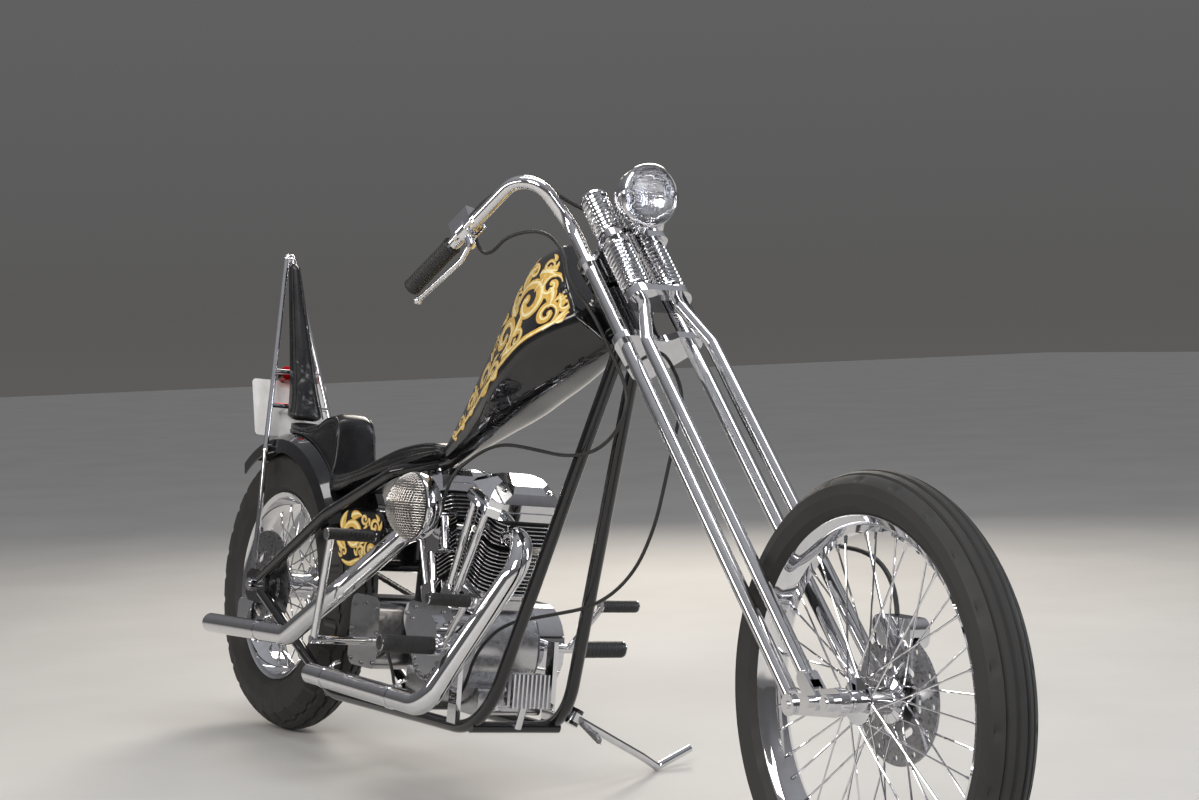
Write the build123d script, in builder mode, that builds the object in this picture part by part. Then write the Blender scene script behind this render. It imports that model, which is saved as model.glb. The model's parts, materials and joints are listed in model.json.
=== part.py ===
"""Long-fork chopper motorcycle with a springer fork and a rigid frame, parked on its side stand.

Millimetres. The machine is drawn upright and straight: +X forward, +Y to its left, +Z up, the
origin on the floor under the rear axle. At the end each piece is turned to the parked pose: the
steered pieces about the steering axis, then everything over onto the side stand.
"""

import os

from math import cos, radians, sin, tan

from build123d import *

os.makedirs("parts", exist_ok=True)

# Stance
WHEELBASE = 2110.0
RAKE = 45.0
LEAN = 7.3
REST_STEER = -5.0
GAP = 0.3
FIT = 0.05

# Wheels
FRONT_TYRE_R = 346.0
FRONT_TYRE_HALF = 45.0
FRONT_RIM_R = 281.0
REAR_TYRE_R = 330.0
REAR_TYRE_HALF = 65.0
REAR_RIM_R = 219.0
REAR_CROWN_HALF = 12.0
SPOKE_PAIRS = 10
SPOKE_R = 2.2
FRONT_AXLE_R = 8.0
REAR_AXLE_R = 9.5

# Springer fork, in its own plane: ahead of the rear legs, to the left, up along them
LEG_PIVOT_BACK = 113.0
LEG_PIVOT_DROP = 18.0
LEG_R = 12.7
LEG_HALF = 66.0
LEG_TOP = 1000.0
STEM_BACK = 60.0
STEM_R = 12.7
SPRING_LEG_AHEAD = 55.0
SPRING_LEG_BEND = 735.0
YOKE_UP = 840.0
SPRING_HALF = 36.0
SPRING_R = 27.0
LOWER_TREE_UP = 785.0
TREE_THICK = 15.0
TOP_TREE_UP = 981.0
NECK_LOW = 806.0
NECK_HIGH = 975.0
NECK_R = 25.0

# Frame
TUBE_R = 12.7
BACKBONE_R = 16.0
RAIL_Z = 138.0
REAR_HALF = 105.0
AXLE_PLATE = 10.0
FENDER_R = 348.0
FENDER_SHEET = 3.0

# Engine: the cylinders' places are distances from the crankshaft
CRANK_X = 870.0
CRANK_Z = 290.0
VEE = 22.5
CASE_HALF = 70.0
DECK = 125.0
HEAD_LOW = 245.0
HEAD_TOP = 300.0
ROCKER_TOP = 362.0
FIN_THICK = 3.0
FIN_PITCH = 11.0
GEARBOX_X = 525.0
CHAIN_Y = 80.0
PRIMARY_Y = 92.0
PRIMARY_THICK = 56.0
PIPE_R = 22.0
PIPE_WALL = 2.0
PIPE_Y = -174.0
FINAL_R = 84.0

# From the upright drawing to the parked pose: the leaned rear tyre stands on its crown's edge
PARK_SHIFT = (-1062.7, -133.1, REAR_CROWN_HALF * sin(radians(LEAN)))

FRONT_AXLE = Vector(WHEELBASE, 0, FRONT_TYRE_R)
REAR_AXLE = Vector(0, 0, REAR_TYRE_R)
CRANK = Vector(CRANK_X, 0, CRANK_Z)
FORK = Plane(
    origin=FRONT_AXLE - Vector(LEG_PIVOT_BACK, 0, LEG_PIVOT_DROP),
    x_dir=(cos(radians(RAKE)), 0, sin(radians(RAKE))),
    z_dir=(-sin(radians(RAKE)), 0, cos(radians(RAKE))),
)


def fork(ahead, left, up):
    """A point given in the fork's own plane."""
    return FORK.from_local_coords(Vector(ahead, left, up))


def cylinder_plane(side, along):
    """A plane across a cylinder's axis, its x forward, at a distance from the crankshaft."""
    turn = radians(VEE * side)
    up = Vector(sin(turn), 0, cos(turn))
    return Plane(origin=CRANK + up * along, x_dir=(cos(turn), 0, -sin(turn)), z_dir=up)


def rod(start, end, radius, bore=0.0, mode=Mode.ADD):
    """A round bar, tube or, subtracted, a bore from one point to another."""
    span = Vector(end) - Vector(start)
    with BuildSketch(Plane(origin=start, z_dir=span)) as section:
        Circle(radius)
        if bore:
            Circle(bore, mode=Mode.SUBTRACT)
    extrude(section.sketch, amount=span.length, mode=mode)


def cable(points, radius):
    """A tube along points chosen by hand, each bend as wide as its two runs allow."""
    route = [Vector(point) for point in points]
    bends = []
    for before, corner, after in zip(route, route[1:], route[2:]):
        arriving = corner - before
        leaving = after - corner
        turn = radians(arriving.get_angle(leaving))
        bends.append(0.45 * min(arriving.length, leaving.length) / tan(turn / 2))
    with BuildLine() as path:
        FilletPolyline(*route, radius=bends)
    with BuildSketch(path.line ^ 0) as section:
        Circle(radius)
    sweep(sections=section.sketch, path=path.line)


def bent_tube(points, radius, bend, bore=0.0):
    """A round tube along straight runs that meet in bends."""
    with BuildLine() as path:
        FilletPolyline(*points, radius=bend)
    with BuildSketch(path.line ^ 0) as section:
        Circle(radius)
        if bore:
            Circle(bore, mode=Mode.SUBTRACT)
    sweep(sections=section.sketch, path=path.line)


def turned(centre, half_profile, axis=(0, 1, 0)):
    """A ring turned about a wheel's axle from points of radius and offset."""
    with BuildSketch(Plane(origin=centre, x_dir=(1, 0, 0), z_dir=(0, 0, 1))) as section:
        with BuildLine():
            Polyline(*half_profile, close=True)
        make_face()
    revolve(section.sketch, axis=Axis(centre, axis))


def mirrored(points):
    """A half profile with its mirror image, running round from the far side."""
    return [(r, -y) for r, y in points] + [(r, y) for r, y in reversed(points)]


def side_plate(points, y_from, y_to):
    """A plate cut to a side-view outline between two offsets from the centre line."""
    with BuildSketch(Plane.XZ.offset(-y_to)) as outline:
        with BuildLine():
            Polyline(*points, close=True)
        make_face()
    extrude(outline.sketch, amount=y_to - y_from)


def cope(*others):
    """Cuts the current piece back to the faces of the pieces it meets."""
    for other in others:
        add(other.part, mode=Mode.SUBTRACT)


def spoked_wheel(centre, rim_profile, rim_seat, hub_profile, flange_r, flange_y, bore):
    """Rim, hub and crossed spokes, joined by the spokes as in a laced wheel."""
    turned(centre, mirrored(rim_profile))
    turned(centre, mirrored(hub_profile))
    lead = 36.0
    step = 360.0 / (2 * SPOKE_PAIRS)
    for side in (-1, 1):
        for number in range(2 * SPOKE_PAIRS):
            rim_angle = step * (number + 0.25 * side)
            hub_angle = rim_angle + lead * (1 if number % 2 else -1)
            start = centre + Vector(flange_r, side * flange_y, 0).rotate(Axis.Y, hub_angle)
            end = centre + Vector(rim_seat, side * 4.0, 0).rotate(Axis.Y, rim_angle)
            with BuildSketch(Plane(origin=start, z_dir=end - start)) as section:
                RegularPolygon(SPOKE_R, 6)
            extrude(section.sketch, amount=(end - start).length)
    with BuildSketch(Plane.XZ) as hole:
        with Locations((centre.X, centre.Z)):
            Circle(bore)
    extrude(hole.sketch, amount=200, both=True, mode=Mode.SUBTRACT)


# Front tyre: radius and half width of the carcass
FRONT_CARCASS = [(268, 23.4), (282, 23.4), (286, 37), (308, FRONT_TYRE_HALF), (330, 37), (342, 22), (FRONT_TYRE_R, 8)]
with BuildPart() as front_tyre:
    turned(FRONT_AXLE, mirrored(FRONT_CARCASS))
front_tyre.part.label = "front_tyre"

# Front wheel: the rim's section and the hub's, as radius and offset from the centre plane
FRONT_RIM = [(251, 10), (263, 27), (278, 29), (FRONT_RIM_R, 27), (267.7, 23.7), (267.7, 20), (256, 8)]
FRONT_HUB = [(0, -48), (17, -48), (17, -33), (36, -31), (36, -27), (19, -20)]
with BuildPart() as front_wheel:
    spoked_wheel(FRONT_AXLE, FRONT_RIM, 254, FRONT_HUB, 31, 29, FRONT_AXLE_R + FIT)
front_wheel.part.label = "front_wheel"

# Front brake disc on the left face of the hub, drilled
with BuildPart() as front_disc:
    with BuildSketch(Plane.XZ.offset(-46)) as face:
        with Locations((FRONT_AXLE.X, FRONT_AXLE.Z)):
            Circle(100)
            Circle(17 + GAP, mode=Mode.SUBTRACT)
            with PolarLocations(54, 6):
                SlotOverall(30, 12, rotation=90, mode=Mode.SUBTRACT)
            with PolarLocations(88, 12):
                Circle(5, mode=Mode.SUBTRACT)
    extrude(face.sketch, amount=4.5)
front_disc.part.label = "front_disc"

# Rear tyre
REAR_CARCASS = [(205, 41.4), (220, 41.4), (226, 56), (262, REAR_TYRE_HALF), (296, 60), (320, 38), (REAR_TYRE_R, REAR_CROWN_HALF)]
with BuildPart() as rear_tyre:
    turned(REAR_AXLE, mirrored(REAR_CARCASS))
rear_tyre.part.label = "rear_tyre"

# Rear wheel
REAR_RIM = [(188, 14), (200, 42), (216, 48), (REAR_RIM_R, 46), (204.7, 41.7), (204.7, 34), (194, 12)]
REAR_HUB = [(0, -(CHAIN_Y - 3 - GAP)), (24, -(CHAIN_Y - 3 - GAP)), (24, -40), (46, -38), (46, -33), (28, -24)]
with BuildPart() as rear_wheel:
    spoked_wheel(REAR_AXLE, REAR_RIM, 191, REAR_HUB, 40, 35.5, REAR_AXLE_R + FIT)
rear_wheel.part.label = "rear_wheel"

# Rear sprocket, bolted to the left end of the hub
TEETH = 40
with BuildPart() as rear_sprocket:
    with BuildSketch(Plane.XZ.offset(-(CHAIN_Y + 3))) as blank:
        with Locations((REAR_AXLE.X, REAR_AXLE.Z)):
            RegularPolygon(FINAL_R, TEETH)
            Circle(REAR_AXLE_R + 2, mode=Mode.SUBTRACT)
            with PolarLocations(56, 6):
                Circle(15, mode=Mode.SUBTRACT)
    extrude(blank.sketch, amount=6)
rear_sprocket.part.label = "rear_sprocket"

# Rear brake disc on the right end of the hub
with BuildPart() as rear_disc:
    with BuildSketch(Plane.XZ.offset(77)) as face:
        with Locations((REAR_AXLE.X, REAR_AXLE.Z)):
            Circle(125)
            Circle(REAR_AXLE_R + 2, mode=Mode.SUBTRACT)
            with PolarLocations(70, 6):
                SlotOverall(44, 16, rotation=90, mode=Mode.SUBTRACT)
    extrude(face.sketch, amount=5)
rear_disc.part.label = "rear_disc"

# Front axle with its nuts and the spacers between rockers and hub
ROCKER_HALF = 8.0
with BuildPart() as front_axle:
    rod(FRONT_AXLE - Vector(0, 92, 0), FRONT_AXLE + Vector(0, 92, 0), FRONT_AXLE_R)
    for side in (-1, 1):
        inner = FRONT_AXLE + Vector(0, side * (48 + GAP), 0)
        rod(inner, FRONT_AXLE + Vector(0, side * (LEG_HALF - ROCKER_HALF), 0), 15)
        nut = FRONT_AXLE + Vector(0, side * (LEG_HALF + ROCKER_HALF), 0)
        rod(nut, nut + Vector(0, side * 16, 0), 13)
front_axle.part.label = "front_axle"

# Rear legs: tubes from the rocker eyes up through both trees, with forged eyes below
LEG_EYE_R = 17.0
with BuildPart() as rear_legs:
    for side in (-1, 1):
        rod(fork(0, side * LEG_HALF, 12), fork(0, side * LEG_HALF, LEG_TOP), LEG_R)
        eye = fork(0, side * LEG_HALF, 0)
        rod(eye - Vector(0, 14, 0), eye + Vector(0, 14, 0), LEG_EYE_R)
        with BuildSketch(FORK) as slot:
            with Locations((0, side * LEG_HALF)):
                Rectangle(60, 2 * (ROCKER_HALF + GAP))
        extrude(slot.sketch, amount=22, both=True, mode=Mode.SUBTRACT)
        rod(eye - Vector(0, 17, 0), eye + Vector(0, 17, 0), 6)
rear_legs.part.label = "rear_legs"

# Rockers: leg eye, spring-leg stud and axle in one forged arm a side
AXLE_AHEAD = (LEG_PIVOT_BACK + LEG_PIVOT_DROP) * cos(radians(45))
AXLE_UP = (LEG_PIVOT_DROP - LEG_PIVOT_BACK) * sin(radians(45))
STUD_UP = -36.0
CHEEK = 5.0
with BuildPart() as rockers:
    for side in (-1, 1):
        y = side * LEG_HALF
        with BuildSketch(Plane.XZ.offset(-(y + ROCKER_HALF))) as arm:
            with BuildSketch(mode=Mode.PRIVATE) as rounds:
                for ahead, up, radius in ((0, 0, 15), (SPRING_LEG_AHEAD, STUD_UP, 15), (AXLE_AHEAD, AXLE_UP, 22)):
                    spot = fork(ahead, 0, up)
                    with Locations((spot.X, spot.Z)):
                        Circle(radius)
            make_hull(rounds.sketch.edges())
            with Locations((fork(0, 0, 0).X, fork(0, 0, 0).Z)):
                Circle(6 + FIT, mode=Mode.SUBTRACT)
            with Locations((FRONT_AXLE.X, FRONT_AXLE.Z)):
                Circle(FRONT_AXLE_R + FIT, mode=Mode.SUBTRACT)
        extrude(arm.sketch, amount=2 * ROCKER_HALF)
        stud = fork(SPRING_LEG_AHEAD, y, STUD_UP)
        rod(stud - Vector(0, side * (ROCKER_HALF + CHEEK), 0), stud + Vector(0, side * (ROCKER_HALF + 15), 0), 9)
rockers.part.label = "rockers"

# Spring legs: forked ends astride the rockers, then tubes that bend in to the yoke under the springs
FORK_END_UP = STUD_UP + 44
with BuildPart() as spring_legs:
    for side in (-1, 1):
        y = side * LEG_HALF
        with BuildSketch(Plane.XZ.offset(-(y + ROCKER_HALF + CHEEK))) as cheek:
            with BuildSketch(mode=Mode.PRIVATE) as rounds:
                for up, radius in ((STUD_UP, 14), (FORK_END_UP, 12)):
                    spot = fork(SPRING_LEG_AHEAD, 0, up)
                    with Locations((spot.X, spot.Z)):
                        Circle(radius)
            make_hull(rounds.sketch.edges())
        extrude(cheek.sketch, amount=2 * (ROCKER_HALF + CHEEK))
        with BuildSketch(FORK.offset(STUD_UP - 16)) as slot:
            with Locations((SPRING_LEG_AHEAD, y)):
                Rectangle(60, 2 * (ROCKER_HALF + GAP))
        extrude(slot.sketch, amount=48, mode=Mode.SUBTRACT)
        bent_tube(
            [
                fork(SPRING_LEG_AHEAD, y, FORK_END_UP),
                fork(SPRING_LEG_AHEAD, y, SPRING_LEG_BEND),
                fork(SPRING_LEG_AHEAD, side * SPRING_HALF, YOKE_UP - 8),
                fork(SPRING_LEG_AHEAD, side * SPRING_HALF, YOKE_UP + 10),
            ],
            11.5,
            14,
        )
    with BuildSketch(FORK.offset(YOKE_UP)) as yoke:
        with Locations((SPRING_LEG_AHEAD, 0)):
            SlotOverall(2 * (SPRING_HALF + SPRING_R), 2 * SPRING_R, rotation=90)
    extrude(yoke.sketch, amount=14)
    cope(rockers)
spring_legs.part.label = "spring_legs"

# Springs: coil rings on a rod between cups, below and above the bridge
LOWER_SPRING = (YOKE_UP + 14, TOP_TREE_UP, 11)
UPPER_SPRING = (TOP_TREE_UP + TREE_THICK, TOP_TREE_UP + TREE_THICK + 112, 9)
with BuildPart() as springs:
    for side in (-1, 1):
        y = side * SPRING_HALF
        for low, high, turns in (LOWER_SPRING, UPPER_SPRING):
            rod(fork(SPRING_LEG_AHEAD, y, low + GAP), fork(SPRING_LEG_AHEAD, y, high - GAP), 12)
            pitch = (high - low - 2 * GAP) / turns
            for turn_number in range(turns):
                middle = low + GAP + pitch * (turn_number + 0.5)
                with BuildSketch(FORK.offset(middle - 0.32 * pitch)) as ring:
                    with Locations((SPRING_LEG_AHEAD, y)):
                        Circle(SPRING_R)
                extrude(ring.sketch, amount=0.64 * pitch)
springs.part.label = "springs"

# Lower tree: a plate round both legs and the stem, its front edge scalloped between the legs
with BuildPart() as lower_tree:
    with BuildSketch(FORK.offset(LOWER_TREE_UP)) as plate:
        with BuildSketch(mode=Mode.PRIVATE) as rounds:
            with Locations((0, LEG_HALF), (0, -LEG_HALF)):
                Circle(LEG_R + 9)
            with Locations((-STEM_BACK, 0)):
                Circle(30)
        make_hull(rounds.sketch.edges())
        with Locations((62, 0)):
            Circle(52, mode=Mode.SUBTRACT)
        with Locations((0, LEG_HALF), (0, -LEG_HALF)):
            Circle(LEG_R, mode=Mode.SUBTRACT)
    extrude(plate.sketch, amount=TREE_THICK)
lower_tree.part.label = "lower_tree"

# Headlamp: a deep chrome shell with a glass lens, on a bracket from the bridge
LAMP = Vector(1397, 0, 1151)
LAMP_R = 57.0
with BuildPart() as headlamp:
    with BuildSketch(Plane.XZ) as half:
        with BuildLine():
            Polyline(
                (LAMP.X, LAMP.Z),
                (LAMP.X, LAMP.Z + LAMP_R - 5),
                (LAMP.X + 6, LAMP.Z + LAMP_R - 4),
                (LAMP.X + 6, LAMP.Z + LAMP_R),
                (LAMP.X - 14, LAMP.Z + LAMP_R),
                (LAMP.X - 50, LAMP.Z + LAMP_R - 10),
                (LAMP.X - 80, LAMP.Z + 26),
                (LAMP.X - 90, LAMP.Z),
                close=True,
            )
        make_face()
    revolve(half.sketch, axis=Axis(LAMP, (1, 0, 0)))
headlamp.part.label = "headlamp"

with BuildPart() as lamp_lens:
    with BuildSketch(Plane.XZ) as half:
        with BuildLine():
            Polyline(
                (LAMP.X + GAP, LAMP.Z),
                (LAMP.X + GAP, LAMP.Z + LAMP_R - 5 - GAP),
                (LAMP.X + 5, LAMP.Z + LAMP_R - 5 - GAP),
                (LAMP.X + 12, LAMP.Z + 30),
                (LAMP.X + 15, LAMP.Z),
                close=True,
            )
        make_face()
    revolve(half.sketch, axis=Axis(LAMP, (1, 0, 0)))
lamp_lens.part.label = "lamp_lens"

# Top tree: the legs' crown, the stem, and the bridge ahead of it that the springs push on
with BuildPart() as top_tree:
    with BuildSketch(FORK.offset(TOP_TREE_UP)) as plate:
        with BuildSketch(mode=Mode.PRIVATE) as rounds:
            with Locations((0, LEG_HALF), (0, -LEG_HALF)):
                Circle(LEG_R + 8)
            with Locations((-STEM_BACK, 0)):
                Circle(28)
        make_hull(rounds.sketch.edges())
        with Locations((SPRING_LEG_AHEAD - 20, 0)):
            RectangleRounded(2 * SPRING_R + 50, 2 * (SPRING_HALF + SPRING_R), 16)
        with Locations((0, LEG_HALF), (0, -LEG_HALF)):
            Circle(LEG_R, mode=Mode.SUBTRACT)
    extrude(plate.sketch, amount=TREE_THICK)
    rod(fork(-STEM_BACK, 0, LOWER_TREE_UP + TREE_THICK), fork(-STEM_BACK, 0, TOP_TREE_UP), STEM_R)
    rod(fork(-STEM_BACK, 0, TOP_TREE_UP + TREE_THICK), fork(-STEM_BACK, 0, TOP_TREE_UP + TREE_THICK + 14), 17)
    bent_tube(
        [
            fork(SPRING_LEG_AHEAD + SPRING_R + 2, 0, TOP_TREE_UP + 7),
            fork(SPRING_LEG_AHEAD + 56, 0, TOP_TREE_UP + 7),
            LAMP + Vector(-30, 0, 20 - LAMP_R),
        ],
        9,
        10,
    )
    cope(headlamp)
top_tree.part.label = "top_tree"

# Handlebar: one bar a side, up out of the leg's top, out to a high crown and back down to the grip
BAR_R = 12.7
BAR_RISE = 98.0
BAR_CROWN = (1202, 147, 1208)
GRIP_END = (936, 255, 991)
with BuildPart() as handlebar:
    for side in (-1, 1):
        bent_tube(
            [
                fork(0, side * LEG_HALF, LEG_TOP + GAP),
                fork(0, side * LEG_HALF, LEG_TOP + BAR_RISE),
                (BAR_CROWN[0], side * BAR_CROWN[1], BAR_CROWN[2]),
                (GRIP_END[0], side * GRIP_END[1], GRIP_END[2]),
            ],
            BAR_R,
            [75, 55],
        )
handlebar.part.label = "handlebar"

# Grips over the bar ends, closed at the tip
GRIP_LENGTH = 128.0
GRIP_R = 17.0


def grip_line(side):
    """The bar's end and its way back from the crown."""
    end = Vector(GRIP_END[0], side * GRIP_END[1], GRIP_END[2])
    crown = Vector(BAR_CROWN[0], side * BAR_CROWN[1], BAR_CROWN[2])
    return end, (end - crown).normalized()


with BuildPart() as grips:
    for side in (-1, 1):
        end, along = grip_line(side)
        rod(end - along * GRIP_LENGTH, end, GRIP_R, BAR_R)
        rod(end, end + along * 5, GRIP_R)
grips.part.label = "grips"

# Front brake cylinder and its lever by the right grip, the clutch lever by the left one
CLAMP_BACK = 172.0
LEVER_OUT = Vector(0.55, 0, -0.55)


def lever_set(side):
    """Clamp round the bar ahead of the grip, with a blade that follows the grip to a ball end."""
    end, along = grip_line(side)
    ahead = (LEVER_OUT - along * LEVER_OUT.dot(along)).normalized()
    clamp = end - along * CLAMP_BACK
    rod(clamp - along * 11, clamp + along * 11, 20, BAR_R)
    rod(clamp + ahead * 16, clamp + ahead * 40, 9)
    pivot = clamp + ahead * 34
    tip = end - along * 4 + ahead * 38
    bent_tube([pivot, pivot + along * 34 + ahead * 14, tip], 5, 12)
    with Locations(tip):
        Sphere(8)
    return clamp, along, ahead


with BuildPart() as brake_lever:
    clamp, along, ahead = lever_set(-1)
    with BuildSketch(Plane(origin=clamp - along * 30, x_dir=ahead, z_dir=along)) as body:
        with Locations((-12, 0)):
            RectangleRounded(44, 34, 5)
        Circle(BAR_R, mode=Mode.SUBTRACT)
    extrude(body.sketch, amount=54)
brake_lever.part.label = "brake_lever"

with BuildPart() as clutch_lever:
    lever_set(-1)
    mirror(about=Plane.XZ, mode=Mode.REPLACE)
clutch_lever.part.label = "clutch_lever"

# Front caliper over the disc, on a plate from the axle
with BuildPart() as front_caliper:
    with BuildSketch(Plane.XZ.offset(-58)) as plate:
        with Locations((FRONT_AXLE.X - 6, FRONT_AXLE.Z + 60)):
            RectangleRounded(36, 110, 12)
        with Locations((FRONT_AXLE.X, FRONT_AXLE.Z)):
            Circle(24)
            Circle(15 + GAP, mode=Mode.SUBTRACT)
    extrude(plate.sketch, amount=5)
    with BuildSketch(Plane.XZ.offset(-68)) as body:
        with Locations((FRONT_AXLE.X - 6, FRONT_AXLE.Z + 102)):
            RectangleRounded(96, 46, 16)
    extrude(body.sketch, amount=68 - 31.5)
    with BuildSketch(Plane.XZ.offset(-51.5)) as slot:
        with Locations((FRONT_AXLE.X, FRONT_AXLE.Z)):
            Circle(106)
    extrude(slot.sketch, amount=15, mode=Mode.SUBTRACT)
    cope(rear_legs, spring_legs, front_axle)
front_caliper.part.label = "front_caliper"

# Frame: neck, backbone and seat post
with BuildPart() as backbone:
    rod(fork(-STEM_BACK, 0, NECK_LOW), fork(-STEM_BACK, 0, NECK_HIGH), NECK_R)
    bent_tube([fork(-STEM_BACK, 0, 900), (700, 0, 650), (632, 0, 640), (612, 0, 150)], BACKBONE_R, 34)
    with BuildSketch(FORK.offset(NECK_LOW - 5)) as bore:
        with Locations((-STEM_BACK, 0)):
            Circle(STEM_R + FIT)
    extrude(bore.sketch, amount=NECK_HIGH - NECK_LOW + 10, mode=Mode.SUBTRACT)
backbone.part.label = "backbone"

# Downtubes, from the neck to the start of the lower bends
SPLIT_Z = 330.0


def downtube_point(side, z):
    """The downtubes' straight line, spreading as it comes down."""
    return (1140 + 0.358 * (z - 330), side * (18 + 0.098 * (885 - z)), z)


with BuildPart() as downtubes:
    for side in (-1, 1):
        rod(downtube_point(side, SPLIT_Z), downtube_point(side, 876), TUBE_R)
    cope(backbone)
downtubes.part.label = "downtubes"

# Lower rails: on round the bend, back under the engine and up to the axle plates
STAND_PIVOT = Vector(1058, 117, 176)
STAND_FOOT = Vector(944, 400, (400 - REAR_CROWN_HALF) * tan(radians(LEAN)))
STAND_FOLDED = Vector(-0.99, 0.13, -0.04).normalized()
STAND_DOWN = (STAND_FOOT - STAND_PIVOT).normalized()
STAND_AXIS = STAND_DOWN.cross(STAND_FOLDED).normalized()
STAND_EYE = 18.0
STAND_PIN_R = 6.0
STAND_R = 8.0
with BuildPart() as lower_rails:
    for side in (-1, 1):
        bent_tube(
            [
                downtube_point(side, SPLIT_Z),
                downtube_point(side, RAIL_Z + 8),
                (430, side * 98, RAIL_Z),
                (36, side * REAR_HALF, 316),
            ],
            TUBE_R,
            150,
        )
        side_plate(
            [(-46, 306), (-46, 352), (-20, 366), (46, 366), (62, 350), (62, 300), (30, 290), (-30, 292)],
            side * REAR_HALF - AXLE_PLATE / 2,
            side * REAR_HALF + AXLE_PLATE / 2,
        )
    for x, z in ((1040, 152), (612, 138), (400, 138)):
        rod((x, -97, z), (x, 97, z), 11)
    with BuildSketch(Plane.XZ) as hole:
        with Locations((0, REAR_TYRE_R)):
            Circle(REAR_AXLE_R + FIT)
    extrude(hole.sketch, amount=130, both=True, mode=Mode.SUBTRACT)
    for end in (-1, 1):
        face = STAND_PIVOT + STAND_AXIS * end * (STAND_EYE / 2 + GAP)
        rod(face, face + STAND_AXIS * end * 7, 17)
    rod(STAND_PIVOT - STAND_AXIS * 12, STAND_PIVOT + STAND_AXIS * 12, STAND_PIN_R)
    cope(backbone)
lower_rails.part.label = "lower_rails"

# Seat rails: from the seat post out and down to the axle plates
with BuildPart() as seat_rails:
    for side in (-1, 1):
        bent_tube(
            [
                (660, side * 8, 644),
                (600, side * 78, 618),
                (330, side * 98, 512),
                (20, side * REAR_HALF, 346),
            ],
            TUBE_R,
            60,
        )
    cope(backbone, lower_rails)
seat_rails.part.label = "seat_rails"

# Rear axle with nuts outside the plates and spacers inside them
with BuildPart() as rear_axle:
    rod(REAR_AXLE - Vector(0, 128, 0), REAR_AXLE + Vector(0, 128, 0), REAR_AXLE_R)
    for side in (-1, 1):
        face = REAR_HALF - AXLE_PLATE / 2
        rod(REAR_AXLE + Vector(0, side * (face - 11), 0), REAR_AXLE + Vector(0, side * face, 0), 15)
        outer = REAR_HALF + AXLE_PLATE / 2
        rod(REAR_AXLE + Vector(0, side * outer, 0), REAR_AXLE + Vector(0, side * (outer + 14), 0), 15)
rear_axle.part.label = "rear_axle"

# Fuel tank: stations from nose to tail, as x, top half width and height, ridge, bottom edge
TANK_CLEAR = 38.0
TUNNEL_CLEAR = 0.5
TANK_STATIONS = (
    (1330, 12, 1004, 32, 956, 20, 900),
    (1240, 18, 1046, 72, 920, 30, 852),
    (1160, 24, 1068, 96, 890, 36, 816),
    (1110, 26, 1072, 102, 872, 38, 796),
    (1050, 26, 1060, 100, 846, 36, 772),
    (980, 24, 1010, 90, 808, 34, 742),
    (880, 22, 890, 64, 744, 30, 706),
    (722, 18, 690, 32, 670, 22, 650),
)
with BuildPart() as tank:
    for x, top_half, top_z, ridge_half, ridge_z, foot_half, foot_z in TANK_STATIONS:
        with BuildSketch(Plane(origin=(x, 0, 0), x_dir=(0, 1, 0), z_dir=(1, 0, 0))):
            with BuildLine():
                Polyline(
                    (-top_half, top_z),
                    (top_half, top_z),
                    (ridge_half, ridge_z),
                    (foot_half, foot_z),
                    (-foot_half, foot_z),
                    (-ridge_half, ridge_z),
                    close=True,
                )
            make_face()
    loft(ruled=True)
    with BuildSketch(Plane(origin=(700, 0, 650), x_dir=(0, 1, 0), z_dir=(618, 0, 272))) as tunnel:
        with Locations((0, -60)):
            Rectangle(2 * (BACKBONE_R + TUNNEL_CLEAR), 120)
        Circle(BACKBONE_R + TUNNEL_CLEAR)
    extrude(tunnel.sketch, amount=700, both=True, mode=Mode.SUBTRACT)
    split(bisect_by=Plane(origin=fork(-STEM_BACK - TANK_CLEAR, 0, 0), z_dir=FORK.x_dir), keep=Keep.BOTTOM)
tank.part.label = "tank"

# Seat: rider's nose and dish, then a tall step to the passenger's narrow pad over the fender
SEAT_CLEAR = 0.4
SEAT_STATIONS = (
    (702, 30, 682, 664),
    (670, 46, 684, 652),
    (600, 66, 673, 630),
    (500, 76, 641, 606),
    (400, 78, 612, 584),
    (300, 70, 600, 566),
    (250, 58, 600, 560),
    (240, 52, 734, 560),
    (180, 52, 728, 600),
    (110, 50, 706, 640),
    (50, 48, 697, 660),
    (-10, 44, 706, 670),
    (-40, 40, 712, 672),
)
with BuildPart() as seat:
    for x, half, top_z, foot_z in SEAT_STATIONS:
        with BuildSketch(Plane(origin=(x, 0, 0), x_dir=(0, 1, 0), z_dir=(1, 0, 0))):
            with Locations((0, (top_z + foot_z) / 2)):
                Rectangle(2 * half, top_z - foot_z)
    loft(ruled=True)
    with BuildSketch(Plane.XZ) as wheel_room:
        with Locations((REAR_AXLE.X, REAR_AXLE.Z)):
            Circle(FENDER_R + FENDER_SHEET + SEAT_CLEAR)
    extrude(wheel_room.sketch, amount=2 * REAR_HALF, both=True, mode=Mode.SUBTRACT)
    cope(backbone, seat_rails)
seat.part.label = "seat"

# Sissy bar: up from the axle plates on both sides to a point behind the backrest
BAR_KNEE = (-42.0, 640.0)
BAR_TIP = (-206.0, 1108.0)
SISSY_R = 6.3
PLATE_BAR_Z = 745.0
LAMP_BAR_Z = 826.0
PLATE_BACK = 44.0


def bar_line(z):
    """The bar's leaning line above its knee, in the middle of the machine."""
    slope = (BAR_TIP[0] - BAR_KNEE[0]) / (BAR_TIP[1] - BAR_KNEE[1])
    return Vector(BAR_KNEE[0] + slope * (z - BAR_KNEE[1]), 0, z)


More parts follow.
